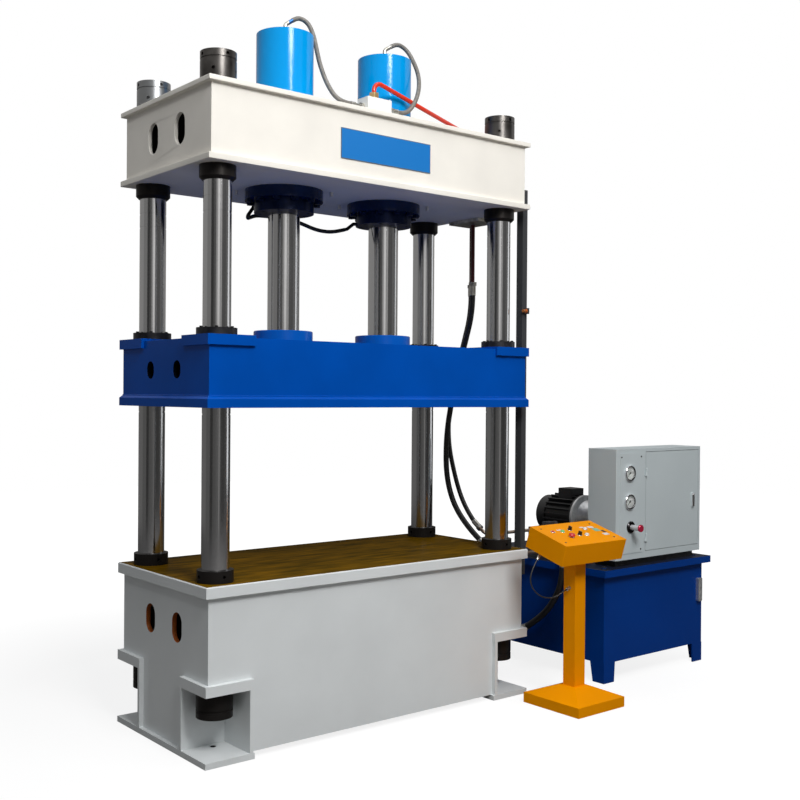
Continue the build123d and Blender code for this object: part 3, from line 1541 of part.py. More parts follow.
def emergency_stop():
    z0 = bezel_height + mushroom_gap
    r = mushroom_dia / 2
    head = turned((0, z0), (r - 4, z0), (r, z0 + 4), (r - 1, z0 + mushroom_height - 5), (r - 7, z0 + mushroom_height),
                  (0, z0 + mushroom_height))
    return device_at(mushroom_at) * (head + cap_stem(z0 + 1))


def turning_knob(place):
    z0 = bezel_height + cap_seat_gap
    base = Pos(0, 0, z0) * Cylinder(knob_dia / 2, knob_height / 2, align=(Align.CENTER, Align.CENTER, Align.MIN))
    grip = Pos(0, 0, z0 + knob_height / 2) * Box(
        knob_grip, knob_dia - 2, knob_height, align=(Align.CENTER, Align.CENTER, Align.MIN))
    return device_at(place) * (base + grip + cap_stem(z0 + 1))


def cable_glands():
    """The cable's glands under the console's box and on its post."""
    start = console_cable_route[0]
    second = console_cable_route[1]
    top = ferrule(start, second, gland_dia_cable, 60, gland_dia_cable + 4)
    over_z = face_front_z / 2 - box_thickness
    cutter = console_plane() * Pos(0, box_slant / 2, over_z) * Box(2 * box_length, 2 * box_slant, face_front_z)
    end = console_cable_route[-1]
    left_x = console_x - post_size / 2
    side = ferrule(end, console_cable_route[-2], gland_dia_cable, gland_length_cable, gland_dia_cable + 4)
    side -= block(left_x, console_x, console_y - post_size, console_y + post_size, 0, face_front_z)
    return [top - cutter, side]


def build():
    """All nodes by name."""
    nodes = {
        "bed_weldment": bed_weldment(),
        "crown_weldment": crown_weldment(),
        "guide_columns": guide_columns(),
        "column_nuts": column_nuts(),
        "cylinder_left": cylinder_body(-cylinder_x),
        "cylinder_right": cylinder_body(cylinder_x),
        "cylinder_glands": cylinder_glands(),
        "cylinder_bolts": cylinder_bolts(),
        "rod_seals": rod_seals(),
        "manifold_block": manifold_block(),
        "hose_fittings": group(hose_fittings() + cable_glands() + [pipe_clamp()]),
        "pressure_pipe": pressure_pipe(),
        "oil_pipes": oil_pipes(),
        "limit_rail": limit_rail(),
        "limit_switch": limit_switch(),
        "sign_plate": sign_plate(),
        "slide_weldment": slide_weldment(),
        "piston_rods": piston_rods(),
        "pistons": pistons(),
        "rod_flanges": rod_flanges(),
        "guide_bushes": guide_bushes(),
        "slide_bolts": slide_bolts(),
        "tank_body": tank_body(),
        "tank_lid": tank_lid(),
        "level_gauge": level_gauge(),
        "cabinet_plinth": cabinet_plinth(),
        "cabinet_shell": cabinet_shell(),
        "control_gear": control_gear(),
        "instrument_panel": instrument_panel(),
        "gauge_cases": gauge_cases(),
        "gauge_lenses": gauge_lenses(),
        "lower_needle": gauge_needle(gauge_levels[0]),
        "upper_needle": gauge_needle(gauge_levels[1]),
        "valve_handle": valve_handle(),
        "cabinet_door": cabinet_door(),
        "door_handle": door_handle(),
        "motor_frame": motor_frame(),
        "motor_rotor": motor_rotor(),
        "motor_fan": motor_fan(),
        "fan_cover": fan_cover(),
        "bell_housing": bell_housing(),
        "pump": pump(),
        "suction_strainer": suction_strainer(),
        "valve_block": valve_block(),
        "console_stand": console_stand(),
        "console_box": console_box(),
        "console_face": console_face(),
        "control_bezels": control_bezels(),
        "indicator_lamps": indicator_lamps(),
        "red_button": red_button(),
        "selector_switch": turning_knob(selector_at),
        "emergency_stop": emergency_stop(),
        "black_knob": turning_knob(black_knob_at),
    }
    hoses = (
        ("top_hose_left", top_hose_left_route, top_hose_dia, limp_bend),
        ("top_hose_right", top_hose_right_route, top_hose_dia, limp_bend),
        ("gland_link_hose", link_hose_route, link_hose_dia, hose_bend),
        ("drop_hose_main", drop_hose_main_route, drop_hose_dia, hose_bend),
        ("drop_hose_return", drop_hose_return_route, return_hose_dia, hose_bend),
        ("supply_hose", supply_hose_route, supply_hose_dia, hose_bend),
        ("console_cable", console_cable_route, cable_dia, hose_bend),
    )
    for name, route, dia, least in hoses:
        nodes[name] = hose(name, route, dia, least)
    return nodes


os.makedirs("parts", exist_ok=True)
for name, shape in build().items():
    export_step(shape, f"parts/{name}.step")
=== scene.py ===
# %% [markdown]
# # A four-column hydraulic press, dressed for a studio picture
# The solids come from the CAD model and keep their shape and place. Blender adds what they lack:
# enamel, chrome, rubber and oiled steel, flexible hoses, gauge dials, weld beads and small screws.
# Everything is in metres, with the origin on the floor at the centre of the press.

# %% Load the frame
import math
import bpy
import bmesh
from mathutils import Matrix, Vector


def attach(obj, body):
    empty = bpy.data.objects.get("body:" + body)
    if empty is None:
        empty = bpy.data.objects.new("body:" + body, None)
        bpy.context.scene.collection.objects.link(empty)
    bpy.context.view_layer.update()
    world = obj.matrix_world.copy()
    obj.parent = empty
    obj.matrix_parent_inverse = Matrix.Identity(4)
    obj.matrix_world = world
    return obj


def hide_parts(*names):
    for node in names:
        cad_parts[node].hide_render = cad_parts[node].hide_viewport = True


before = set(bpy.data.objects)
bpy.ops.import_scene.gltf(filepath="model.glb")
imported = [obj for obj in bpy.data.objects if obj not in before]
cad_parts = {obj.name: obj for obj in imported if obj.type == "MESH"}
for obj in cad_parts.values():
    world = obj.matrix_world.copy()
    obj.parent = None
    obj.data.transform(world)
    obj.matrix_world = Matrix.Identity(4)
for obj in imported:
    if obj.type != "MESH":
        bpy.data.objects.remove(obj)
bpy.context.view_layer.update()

# %% [markdown]
# The camera comes first, because every later choice is judged through it. A photograph of a machine
# this tall is taken from some metres away at eye height, with the camera held nearly level. Its
# place could be found by eye, but straight edges of the machine fix it better, so the position and
# the three angles below are the ones that put those edges on the photograph's.

# %% Camera: place and direction
CAMERA_PLACE = Vector((-3.59786, -5.01400, 1.80000))
YAW = math.radians(39.172)
PITCH = math.radians(-0.329)
ROLL = math.radians(0.418)

ahead = Vector((math.sin(YAW) * math.cos(PITCH), math.cos(YAW) * math.cos(PITCH), math.sin(PITCH)))
level_right = Vector((math.cos(YAW), -math.sin(YAW), 0))
level_up = level_right.cross(ahead)
right = math.cos(ROLL) * level_right + math.sin(ROLL) * level_up
up = -math.sin(ROLL) * level_right + math.cos(ROLL) * level_up
turn = Matrix((right, up, -ahead)).transposed().to_4x4()
print("camera looks along", [round(v, 3) for v in ahead])

# %% Camera: the lens
SENSOR_WIDTH = 36
FOCAL_LENGTH = 48.27
FAR_LIMIT = 60

camera_data = bpy.data.cameras.new("press_camera")
camera_data.sensor_width = SENSOR_WIDTH
camera_data.lens = FOCAL_LENGTH
camera_data.clip_end = FAR_LIMIT
camera = bpy.data.objects.new("press_camera", camera_data)
camera.matrix_world = Matrix.Translation(CAMERA_PLACE) @ turn
bpy.context.scene.collection.objects.link(camera)
bpy.context.scene.camera = camera
bpy.context.scene.view_settings.view_transform = "Standard"
print("lens", FOCAL_LENGTH, "mm")

# %% [markdown]
# A cut-out picture has a white background and hardly any shadow. A bright white room would give the
# background, but it would also wash out pale enamel. Here the world is white only to the camera, in
# mirrors and through glass, and much dimmer as a light. Nodes are joined by small helpers, because
# the same few joints come back in nearly every material.

# %% Node helpers for light and colour
WHITE = (1, 1, 1, 1)


def link(tree, start, end):
    """Joins one socket to another."""
    tree.links.new(start, end)


def plain(tree, kind, colour, strength=None):
    """A plain shader of one colour, and of one strength if it gives light."""
    node = tree.nodes.new(kind)
    node.inputs["Color"].default_value = colour
    if strength is not None:
        node.inputs["Strength"].default_value = strength
    return node.outputs[0]


def blend_shaders(tree, share, low, high):
    """One shader where the share is 0 and another where it is 1."""
    node = tree.nodes.new("ShaderNodeMixShader")
    link(tree, share, node.inputs["Fac"])
    link(tree, low, node.inputs[1])
    link(tree, high, node.inputs[2])
    return node.outputs[0]


def larger(tree, first, second):
    """The larger of two sockets."""
    node = tree.nodes.new("ShaderNodeMath")
    node.operation = "MAXIMUM"
    link(tree, first, node.inputs[0])
    link(tree, second, node.inputs[1])
    return node.outputs[0]


print("node helpers ready")

# %% World
AMBIENT = 0.17
SKY_TINT = (0.93, 0.96, 1, 1)

world = bpy.data.worlds.new("studio")
bpy.context.scene.world = world
world.use_nodes = True
sky = world.node_tree
sky.nodes.clear()
sky_out = sky.nodes.new("ShaderNodeOutputWorld")
sky_shown = plain(sky, "ShaderNodeBackground", WHITE)
sky_light = plain(sky, "ShaderNodeBackground", SKY_TINT, AMBIENT)
ray = sky.nodes.new("ShaderNodeLightPath").outputs
sky_seen = larger(sky, ray["Is Camera Ray"], ray["Is Glossy Ray"])
sky_seen = larger(sky, sky_seen, ray["Is Transmission Ray"])
link(sky, blend_shaders(sky, sky_seen, sky_light, sky_shown), sky_out.inputs["Surface"])
print("world light", AMBIENT)

# %% [markdown]
# The world alone would light every side alike. One strong lamp would give shape, but leave the
# crown's end and the tank too dark, so three square lamps share the work. The key lamp hangs high
# in front: it makes the crown brighter than the bed and leaves the left ends in shade. The fill
# lamp on the left is weak and only lifts the crown's end. The top lamp lights the bed's table, the
# tank's lid and the console. A row below holds a lamp's place, the point that it faces, its width,
# because a wide lamp gives a soft shadow, and its power.

# %% Lamps
LAMPS = (
    ("key_lamp", (-1.2, -5.8, 6.6), (0.2, 0, 1.6), 2.4, 412),
    ("fill_lamp", (-3.6, -1.0, 6.6), (-1.09, 0, 3.0), 1.2, 42),
    ("top_lamp", (0.9, -3.4, 8.6), (0.6, 0, 1.0), 3.0, 125),
)


def soft_lamp(name, place, target, size, power):
    """A square area lamp that faces a point."""
    data = bpy.data.lights.new(name, "AREA")
    data.size = size
    data.energy = power
    lamp = bpy.data.objects.new(name, data)
    lamp.location = place
    lamp.rotation_euler = (Vector(target) - Vector(place)).to_track_quat("-Z", "Y").to_euler()
    bpy.context.scene.collection.objects.link(lamp)
    print(name, power, "W")


for row in LAMPS:
    soft_lamp(*row)

# %% [markdown]
# The floor only has to take a soft shadow. Without one the machine would hang in white. It is one
# wide sheet, a little below the feet. To the camera it is white, with a little of the shadow near
# the machine and none further off, so no horizon shows. To other light it is a dull floor, because
# a white one would light the crown from below.

# %% Floor: its finish
FLOOR_DULL = (0.24, 0.23, 0.22, 1)
FLOOR_MATT = (0.95, 0.95, 0.95, 1)
FLOOR_GLOW = 1.08
SHADOW_SHARE = 0.22
SHADOW_FULL = 2.0
SHADOW_GONE = 4.5


def clean_material(name):
    """A new material with an empty node tree."""
    material = bpy.data.materials.new(name)
    material.use_nodes = True
    material.node_tree.nodes.clear()
    return material


def remap(tree, value, low, high, start=0.0, end=1.0):
    """A number that runs from low to high while a socket runs from start to end."""
    node = tree.nodes.new("ShaderNodeMapRange")
    node.inputs["From Min"].default_value = start
    node.inputs["From Max"].default_value = end
    node.inputs["To Min"].default_value = low
    node.inputs["To Max"].default_value = high
    link(tree, value, node.inputs["Value"])
    return node.outputs[0]


floor_paint = clean_material("studio_floor")
tree = floor_paint.node_tree
floor_out = tree.nodes.new("ShaderNodeOutputMaterial")
floor_dull = plain(tree, "ShaderNodeBsdfDiffuse", FLOOR_DULL)
floor_matt = plain(tree, "ShaderNodeBsdfDiffuse", FLOOR_MATT)
floor_glow = plain(tree, "ShaderNodeEmission", WHITE, FLOOR_GLOW)
floor_radius = tree.nodes.new("ShaderNodeVectorMath")
floor_radius.operation = "LENGTH"
link(tree, tree.nodes.new("ShaderNodeTexCoord").outputs["Object"], floor_radius.inputs[0])
share = remap(tree, floor_radius.outputs["Value"], SHADOW_SHARE, 0.0, SHADOW_FULL, SHADOW_GONE)
floor_shown = blend_shaders(tree, share, floor_glow, floor_matt)
ray = tree.nodes.new("ShaderNodeLightPath").outputs
link(tree, blend_shaders(tree, ray["Is Camera Ray"], floor_dull, floor_shown),
     floor_out.inputs["Surface"])
print("floor shadow fades out at", SHADOW_GONE, "m")

# %% Floor: its sheet
FLOOR_HALF = 14
FLOOR_DROP = 0.001

floor_mesh = bpy.data.meshes.new("studio_floor")
bm = bmesh.new()
bmesh.ops.create_grid(bm, x_segments=1, y_segments=1, size=FLOOR_HALF)
bmesh.ops.translate(bm, vec=(0, 0, -FLOOR_DROP), verts=bm.verts)
bm.to_mesh(floor_mesh)
bm.free()
floor = bpy.data.objects.new("studio_floor", floor_mesh)
floor.data.materials.append(floor_paint)
bpy.context.scene.collection.objects.link(floor)
print("floor", 2 * FLOOR_HALF, "m wide")

# %% [markdown]
# Chrome shows nothing but its surroundings. In an all-white room a chromed column would look like a
# white stick, so photographers stand grey cards round it. A picture of a room would also do, but
# cards are easier to move until each stripe on a column is right. They show only in reflections:
# the camera and the light don't see them. Each is an upright sheet, bent round the press.

# %% Grey cards: paint and shape
CARD_RADIUS = 9.0
CARD_STEP = 6
CARD_TINT = (1.0, 0.97, 0.93)
TOWARDS_CAMERA = math.atan2(CAMERA_PLACE.y, CAMERA_PLACE.x)


def card_paint(tone, strength):
    """A material that only glows, in one warm grey."""
    paint = clean_material(f"card_{round(tone * strength * 1000)}")
    tree = paint.node_tree
    out = tree.nodes.new("ShaderNodeOutputMaterial")
    colour = (*(tone * c for c in CARD_TINT), 1)
    link(tree, plain(tree, "ShaderNodeEmission", colour, strength), out.inputs["Surface"])
    return paint


def card(name, start, end, low, high, tone, strength=1.0):
    """A bent sheet between two angles in degrees and two heights."""
    bm = bmesh.new()
    first = TOWARDS_CAMERA + math.radians(start)
    x = CARD_RADIUS * math.cos(first)
    y = CARD_RADIUS * math.sin(first)
    edge = bm.edges.new((bm.verts.new((x, y, low)), bm.verts.new((x, y, high))))
    bmesh.ops.spin(bm, geom=[edge, *edge.verts], cent=(0, 0, 0), axis=(0, 0, 1),
                   angle=math.radians(end - start), steps=max(2, round((end - start) / CARD_STEP)))
    mesh = bpy.data.meshes.new(name)
    bm.to_mesh(mesh)
    bm.free()
    sheet = bpy.data.objects.new(name, mesh)
    sheet.data.materials.append(card_paint(tone, strength))
    sheet.visible_camera = False
    sheet.visible_diffuse = False
    sheet.visible_shadow = False
    bpy.context.scene.collection.objects.link(sheet)


print("cards stand", CARD_RADIUS, "m from the press")

# %% [markdown]
# The cards stand in threes, one above the other, and each has its own grey, because the machine's
# columns look darker near the table than near the crown. One tall card would make them even. A row
# below holds two angles, which count from the camera's side to the right, and then the three greys
# from low to high. The gaps between the cards give the bright lines. The lower part of one gap is
# closed by a darker card, and a narrow card above it glows and gives the barrels their long
# highlight.

# %% Grey cards: the set
CARD_PARTS = ("low", "middle", "high")
CARD_HEIGHTS = (0.01, 2.4, 5.2, 13.0)
CARDS = (
    (-165, -75, 0.15, 0.30, 0.50),
    (-75, -42, 0.11, 0.22, 0.50),
    (-42, -22, 0.04, 0.045, 0.50),
    (-22, -6, 0.09, 0.10, 0.50),
    (-6, 6, 0.10, 0.34, 0.50),
    (6, 22, 0.12, 0.75, 0.50),
    (29, 38, 0.10, 0.42, 0.55),
    (38, 74, 0.05, 0.10, 0.55),
    (74, 98, 0.075, 0.15, 0.03),
    (118, 165, 0.06, 0.32, 0.60),
    (165, 195, 0.03, 0.12, 0.50),
)

for number, (start, end, *tones) in enumerate(CARDS):
    for part, low, high, tone in zip(CARD_PARTS, CARD_HEIGHTS, CARD_HEIGHTS[1:], tones):
        card(f"{part}_card_{number}", start, end, low, high, tone)
card("middle_gap", start=22, end=29, low=0.01, high=5.2, tone=0.28)
card("strip_light", start=20, end=28, low=5.4, high=13.0, tone=1.0, strength=26.0)
print("cards", len(CARD_PARTS) * len(CARDS) + 2)

# %% [markdown]
# Most finishes here start from one principled shader, which covers paint, metal, plastic and glass.
# Pictures of real paint could be laid over the pieces, but then each would need its own unwrapped
# map. The patterns here are made from noise on Object coordinates, which needs none and has the
# same scale on every piece.

# %% Finishes: the shader
COAT_ROUGHNESS = 0.08


def shader(name, colour, rough, metal=0.0, coat=0.0, gloss=0.5):
    """A material with one principled shader, returned with its tree and shader."""
    material = clean_material(name)
    tree = material.node_tree
    out = tree.nodes.new("ShaderNodeOutputMaterial")
    bsdf = tree.nodes.new("ShaderNodeBsdfPrincipled")
    bsdf.inputs["Base Color"].default_value = (*colour, 1)
    bsdf.inputs["Roughness"].default_value = rough
    bsdf.inputs["Metallic"].default_value = metal
    bsdf.inputs["Coat Weight"].default_value = coat
    bsdf.inputs["Coat Roughness"].default_value = COAT_ROUGHNESS
    bsdf.inputs["Specular IOR Level"].default_value = gloss
    link(tree, bsdf.outputs[0], out.inputs["Surface"])
    return material, tree, bsdf


print("coat roughness", COAT_ROUGHNESS)

# %% [markdown]
# Paint, rust bloom and oil all shift slowly between two tones. Noise could be used as a colour by
# itself, but a ramp between two chosen tones keeps the piece's own hue. The two positions on the
# ramp set how much of the piece has neither tone fully.

# %% Finishes: drifting tones
RAMP_START = 0.35
RAMP_END = 0.65


def noise(tree, scale, detail, stretch=(1, 1, 1)):
    """Noise in the piece's own coordinates; a larger stretch squeezes it along that axis."""
    coords = tree.nodes.new("ShaderNodeTexCoord")
    mapping = tree.nodes.new("ShaderNodeMapping")
    mapping.inputs["Scale"].default_value = stretch
    pattern = tree.nodes.new("ShaderNodeTexNoise")
    pattern.inputs["Scale"].default_value = scale
    pattern.inputs["Detail"].default_value = detail
    link(tree, coords.outputs["Object"], mapping.inputs["Vector"])
    link(tree, mapping.outputs[0], pattern.inputs["Vector"])
    return pattern.outputs["Fac"]


def two_tones(tree, pattern, low, high, start=RAMP_START, end=RAMP_END):
    """A ramp from one colour to another along a pattern."""
    ramp = tree.nodes.new("ShaderNodeValToRGB")
    ramp.color_ramp.elements[0].position = start
    ramp.color_ramp.elements[0].color = (*low, 1)
    ramp.color_ramp.elements[1].position = end
    ramp.color_ramp.elements[1].color = (*high, 1)
    link(tree, pattern, ramp.inputs["Fac"])
    return ramp.outputs[0]


def mottle(tree, bsdf, low, high, scale, detail):
    """A base colour that drifts between two tones, returned for a later blend."""
    tone = two_tones(tree, noise(tree, scale, detail), low, high)
    link(tree, tone, bsdf.inputs["Base Color"])
    return tone


print("ramp from", RAMP_START, "to", RAMP_END)

# %% [markdown]
# No sprayed, cast or drawn surface is quite smooth or evenly glossy. Real dents would need millions
# of faces, so a bump tilts the shading instead: its scale sets how many dents there are to a metre
# and its distance how deep they are. The gloss drifts by the same kind of noise.

# %% Finishes: skin and gloss
SKIN_DETAIL = 2.0
GLOSS_DETAIL = 4.0


def skin(tree, bsdf, scale, strength, distance=0.0005, stretch=(1, 1, 1)):
    """A fine uneven surface."""
    bump = tree.nodes.new("ShaderNodeBump")
    bump.inputs["Strength"].default_value = strength
    bump.inputs["Distance"].default_value = distance
    link(tree, noise(tree, scale, SKIN_DETAIL, stretch), bump.inputs["Height"])
    link(tree, bump.outputs[0], bsdf.inputs["Normal"])


def uneven_gloss(tree, bsdf, low, high, scale=6.0):
    """Roughness that drifts between two values."""
    pattern = noise(tree, scale, GLOSS_DETAIL)
    link(tree, remap(tree, pattern, low, high), bsdf.inputs["Roughness"])


print("detail of skin and gloss", SKIN_DETAIL, GLOSS_DETAIL)

# %% [markdown]
# Enamel on a weldment is never one flat colour. It has a faint orange-peel skin, slow shifts in
# tone where the gun passed, and on the shiny pieces a clear coat that mirrors softly. One helper
# makes all the paints, so a maker only chooses the colour and how glossy and even it is.

# %% Finishes: enamel
DRIFT_SCALE = 2.5
PEEL_SCALE = 260.0
PEEL_HEIGHT = 0.0003


def enamel(name, colour, rough=0.35, coat=0.0, drift=0.06, peel=0.12, gloss=0.3):
    """Sprayed paint: slow tone drift, orange peel and a soft sheen."""
    material, tree, bsdf = shader(name, colour, rough, coat=coat, gloss=gloss)
    dark = tuple(c * (1 - drift) for c in colour)
    pale = tuple(min(1.0, c * (1 + drift * 0.5)) for c in colour)
    tone = mottle(tree, bsdf, dark, pale, scale=DRIFT_SCALE, detail=5.0)
    uneven_gloss(tree, bsdf, rough * 0.8, rough * 1.25)
    skin(tree, bsdf, PEEL_SCALE, peel, PEEL_HEIGHT)
    return material, tree, bsdf, tone


cabinet_enamel = enamel("cabinet_enamel", (0.55, 0.61, 0.625), rough=0.45, drift=0.03,
                        peel=0.2, gloss=0.25)[0]
flange_enamel = enamel("flange_enamel", (0.001, 0.110, 0.48), rough=0.22, coat=0.1, gloss=0.15)[0]
console_enamel = enamel("console_enamel", (0.90, 0.315, 0.0), drift=0.05, peel=0.2, gloss=0.02)[0]
motor_black = enamel("motor_black", (0.014, 0.014, 0.015), rough=0.38, coat=0.15, drift=0.2,
                     peel=0.3)[0]
print("materials so far", len(bpy.data.materials))

# %% [markdown]
# Some nodes carry two finishes. The CAD solid stays one piece, so it can't simply be given two
# materials. Its faces could be sorted one by one, but the place in Object coordinates does the same
# with less: a mask is 1 above a level, or inside a box, and it picks the colour there.

# %% Finishes: masks by place
def above(tree, level, axis="Z", soften=0.002):
    """A mask that is 0 below a level and 1 above it."""
    coords = tree.nodes.new("ShaderNodeTexCoord")
    split = tree.nodes.new("ShaderNodeSeparateXYZ")
    link(tree, coords.outputs["Object"], split.inputs[0])
    return remap(tree, split.outputs[axis], 0.0, 1.0, level - soften, level + soften)


def inside_box(tree, centre, half):
    """A mask that is 1 inside a box, given by its centre and half its size, and 0 outside it."""
    last = tree.nodes.new("ShaderNodeTexCoord").outputs["Object"]
    for operation, value in (("SUBTRACT", centre), ("ABSOLUTE", None), ("SUBTRACT", half)):
        step = tree.nodes.new("ShaderNodeVectorMath")
        step.operation = operation
        link(tree, last, step.inputs[0])
        if value:
            step.inputs[1].default_value = value
        last = step.outputs[0]
    split = tree.nodes.new("ShaderNodeSeparateXYZ")
    link(tree, last, split.inputs[0])
    wider = larger(tree, split.outputs["X"], split.outputs["Y"])
    mask = tree.nodes.new("ShaderNodeMath")
    mask.operation = "LESS_THAN"
    mask.inputs[1].default_value = 0.0
    link(tree, larger(tree, wider, split.outputs["Z"]), mask.inputs[0])
    return mask.outputs[0]


print("masks by level and by box")

# %% [markdown]
# A mask has to be put to use on a colour, or on a number such as the roughness. Two shaders could
# be mixed instead, but that costs more time in every ray and isn't needed, because only a few
# inputs change from one finish to the other.

# %% Finishes: using a mask
def blend_colour(tree, mask, low, high):
    """Mixes two colours by a mask. Each is a colour or a socket."""
    mix = tree.nodes.new("ShaderNodeMix")
    mix.data_type = "RGBA"
    link(tree, mask, mix.inputs[0])
    for value, socket in ((low, mix.inputs[6]), (high, mix.inputs[7])):
        if isinstance(value, tuple):
            socket.default_value = (*value, 1)
        else:
            link(tree, value, socket)
    return mix.outputs[2]


def two_finishes(tree, bsdf, mask, low, high):
    """Gives the shader one colour where a mask is 0 and another where it is 1."""
    link(tree, blend_colour(tree, mask, low, high), bsdf.inputs["Base Color"])


def two_values(tree, bsdf, mask, low, high, socket):
    """Gives one of the shader's numbers one value where a mask is 0 and another where it is 1."""
    link(tree, remap(tree, mask, low, high), bsdf.inputs[socket])


print("masks choose colours and values")

# %% [markdown]
# The crown is cream outside and nearly black where its slots let one look in: painted shade inside
# it. The tank's lid has a darker top than its sides, a painted reflection of the dark plinth. The
# oil pipe is bright red over the crown and dark red below it, where the dark red is painted shade
# and reflection. The manifold block is white, with a brass-coloured nut at its port.

# %% Finishes: crown, tank, pipe and manifold block
CROWN_PAINTED_SHADE = (0, 0, 3.1175), (1.0459, 0.4459, 0.1724)
LID_PAINTED_REFLECTION = (2.1175, -0.057, 0.7140), (0.546, 0.634, 0.0004)
PIPE_SHADE_LEVEL = 2.93
PORT_NUT = 3.4622

cream_enamel, tree, bsdf, tone = enamel("cream_enamel", (0.89, 0.855, 0.785), rough=0.38)
# Inside the crown the cream is replaced by near black: painted shade.
two_finishes(tree, bsdf, inside_box(tree, *CROWN_PAINTED_SHADE), tone, (0.030, 0.028, 0.026))

tank_enamel, tree, bsdf, tone = enamel("tank_enamel", (0.0, 0.040, 0.250), rough=0.30, coat=0.05,
                                       gloss=0.08)
# The lid's top is painted darker: a painted reflection of the dark plinth.
two_finishes(tree, bsdf, inside_box(tree, *LID_PAINTED_REFLECTION), tone, (0.010, 0.014, 0.032))

red_enamel, tree, bsdf, tone = enamel("red_enamel", (0.72, 0.035, 0.012), rough=0.2, coat=0.2,
                                      gloss=0.2)
# Below this level the pipe is painted dark red: painted shade and reflection.
two_finishes(tree, bsdf, above(tree, PIPE_SHADE_LEVEL), (0.085, 0.010, 0.011), tone)

white_enamel, tree, bsdf, tone = enamel("white_enamel", (0.88, 0.86, 0.81))
port_nut = above(tree, PORT_NUT, soften=0.0004)
two_finishes(tree, bsdf, port_nut, tone, (0.62, 0.43, 0.20))
two_values(tree, bsdf, port_nut, 0.0, 0.9, "Metallic")
print("materials so far", len(bpy.data.materials))

# %% [markdown]
# The bed is the piece with most finishes. Its table is bare steel under a brown film of oil, which
# runs in streaks along the table, so the noise is squeezed across it. Behind the openings the walls
# show primer, and the ribs further in are painted nearly black as shade. The four anchor holes in
# the feet are painted dark as shade too.

# %% Finishes: bed
OIL_STRETCH = (1, 7, 1)
TABLE = (0, 0, 0.8693), (1.084, 0.484, 0.0013)
BED_PRIMER = (0, 0, 0.6045), (1.0645, 0.4645, 0.2094)
BED_PAINTED_SHADE = (0, 0, 0.6045), (1.0399, 0.4399, 0.2094)
ANCHOR_X = 0.93
ANCHOR_Y = 0.28
ANCHOR_Z = 0.015
ANCHOR_SHADE_BOX = (0.0155, 0.0155, 0.0149)

bed_enamel, tree, bsdf, tone = enamel("bed_enamel", (0.77, 0.80, 0.805), rough=0.42, drift=0.04)
oil = two_tones(tree, noise(tree, scale=5.0, detail=7.0, stretch=OIL_STRETCH),
                (0.048, 0.030, 0.0), (0.230, 0.110, 0.002), start=0.3, end=0.75)
painted = blend_colour(tree, inside_box(tree, *BED_PRIMER), tone, (0.33, 0.085, 0.016))
# The ribs further in are painted nearly black: painted shade.
painted = blend_colour(tree, inside_box(tree, *BED_PAINTED_SHADE), painted, (0.022, 0.016, 0.012))
# The anchor holes are painted dark: painted shade.
for x in (-ANCHOR_X, ANCHOR_X):
    for y in (-ANCHOR_Y, ANCHOR_Y):
        hole_shade = inside_box(tree, (x, y, ANCHOR_Z), ANCHOR_SHADE_BOX)
        painted = blend_colour(tree, hole_shade, painted, (0.02, 0.02, 0.02))
table = inside_box(tree, *TABLE)
two_finishes(tree, bsdf, table, painted, oil)
two_values(tree, bsdf, table, 0.42, 0.34, "Roughness")
two_values(tree, bsdf, table, 1.5, 1.06, "IOR")
print("bed's table at", TABLE[0][2], "m")

# %% [markdown]
# The slide is deep blue, with its inside painted dark as shade. The cylinders are sky blue above
# the crown and navy where they pass below it, so one level inside the crown separates the two, out
# of sight.

# %% Finishes: slide and cylinders
SLIDE_PAINTED_SHADE = (0, 0, 1.9135), (1.0735, 0.4735, 0.1294)
BARREL_CHANGE = 2.9155

slide_enamel, tree, bsdf, tone = enamel("slide_enamel", (0.0, 0.078, 0.44), rough=0.24, coat=0.04,
                                        drift=0.1, gloss=0.06)
# The slide's inside is painted nearly black: painted shade.
two_finishes(tree, bsdf, inside_box(tree, *SLIDE_PAINTED_SHADE), tone, (0.003, 0.005, 0.011))

cylinder_enamel, tree, bsdf, tone = enamel("cylinder_enamel", (0.0, 0.305, 0.74), rough=0.14,
                                           coat=0.2, drift=0.05, peel=0.05, gloss=0.12)
navy = two_tones(tree, noise(tree, scale=9.0, detail=4.0), (0.004, 0.014, 0.060),
                 (0.008, 0.024, 0.100))
two_finishes(tree, bsdf, above(tree, BARREL_CHANGE, soften=0.0008), navy, tone)
print("barrels change colour at", BARREL_CHANGE, "m")

# %% [markdown]
# Hard chrome on the columns and rods is ground before plating, which leaves rings too fine to see
# one by one. They stretch each highlight round the bar. An anisotropic shader could do this, but
# noise squeezed along Z and a low roughness come closer to the slightly uneven look of a real bar.
# Bright chrome on the small parts has no rings. The collar behind the valve's handle is black.

# %% Finishes: chrome
COLLAR = (1.854, -0.660, 0.962), (0.045, 0.02, 0.045)
BRIGHT = (0.72, 0.72, 0.74)

hard_chrome, tree, bsdf = shader("hard_chrome", (0.62, 0.63, 0.65), rough=0.12, metal=1.0)
skin(tree, bsdf, scale=12.0, strength=0.08, distance=0.0004, stretch=(1, 1, 60))
uneven_gloss(tree, bsdf, 0.08, 0.17, scale=3.0)

bright_chrome, tree, bsdf = shader("bright_chrome", BRIGHT, rough=0.07, metal=1.0)
uneven_gloss(tree, bsdf, 0.05, 0.12, scale=30.0)
two_finishes(tree, bsdf, inside_box(tree, *COLLAR), BRIGHT, (0.03, 0.028, 0.030))
print("materials so far", len(bpy.data.materials))

# %% [markdown]
# The nuts on the columns are blued steel: dark, with turning marks that are again noise squeezed
# along Z. Those under the crown are made nearly black, and one upper nut is made paler. The glands
# and bolts of the cylinders are painted navy, and only the studs above them are bare.

# %% Finishes: nuts, bolts and rail
UPPER_NUTS = 3.0
PALE_NUT = (-0.964, 0.350, 3.40), (0.12, 0.12, 0.20)
STUD_TOP = 2.888

blackened, tree, bsdf = shader("blackened_steel", (0.012, 0.012, 0.013), rough=0.35, metal=0.2,
                               gloss=0.25)
mottle(tree, bsdf, (0.008, 0.008, 0.009), (0.030, 0.030, 0.032), scale=18.0, detail=5.0)
skin(tree, bsdf, scale=180.0, strength=0.25)

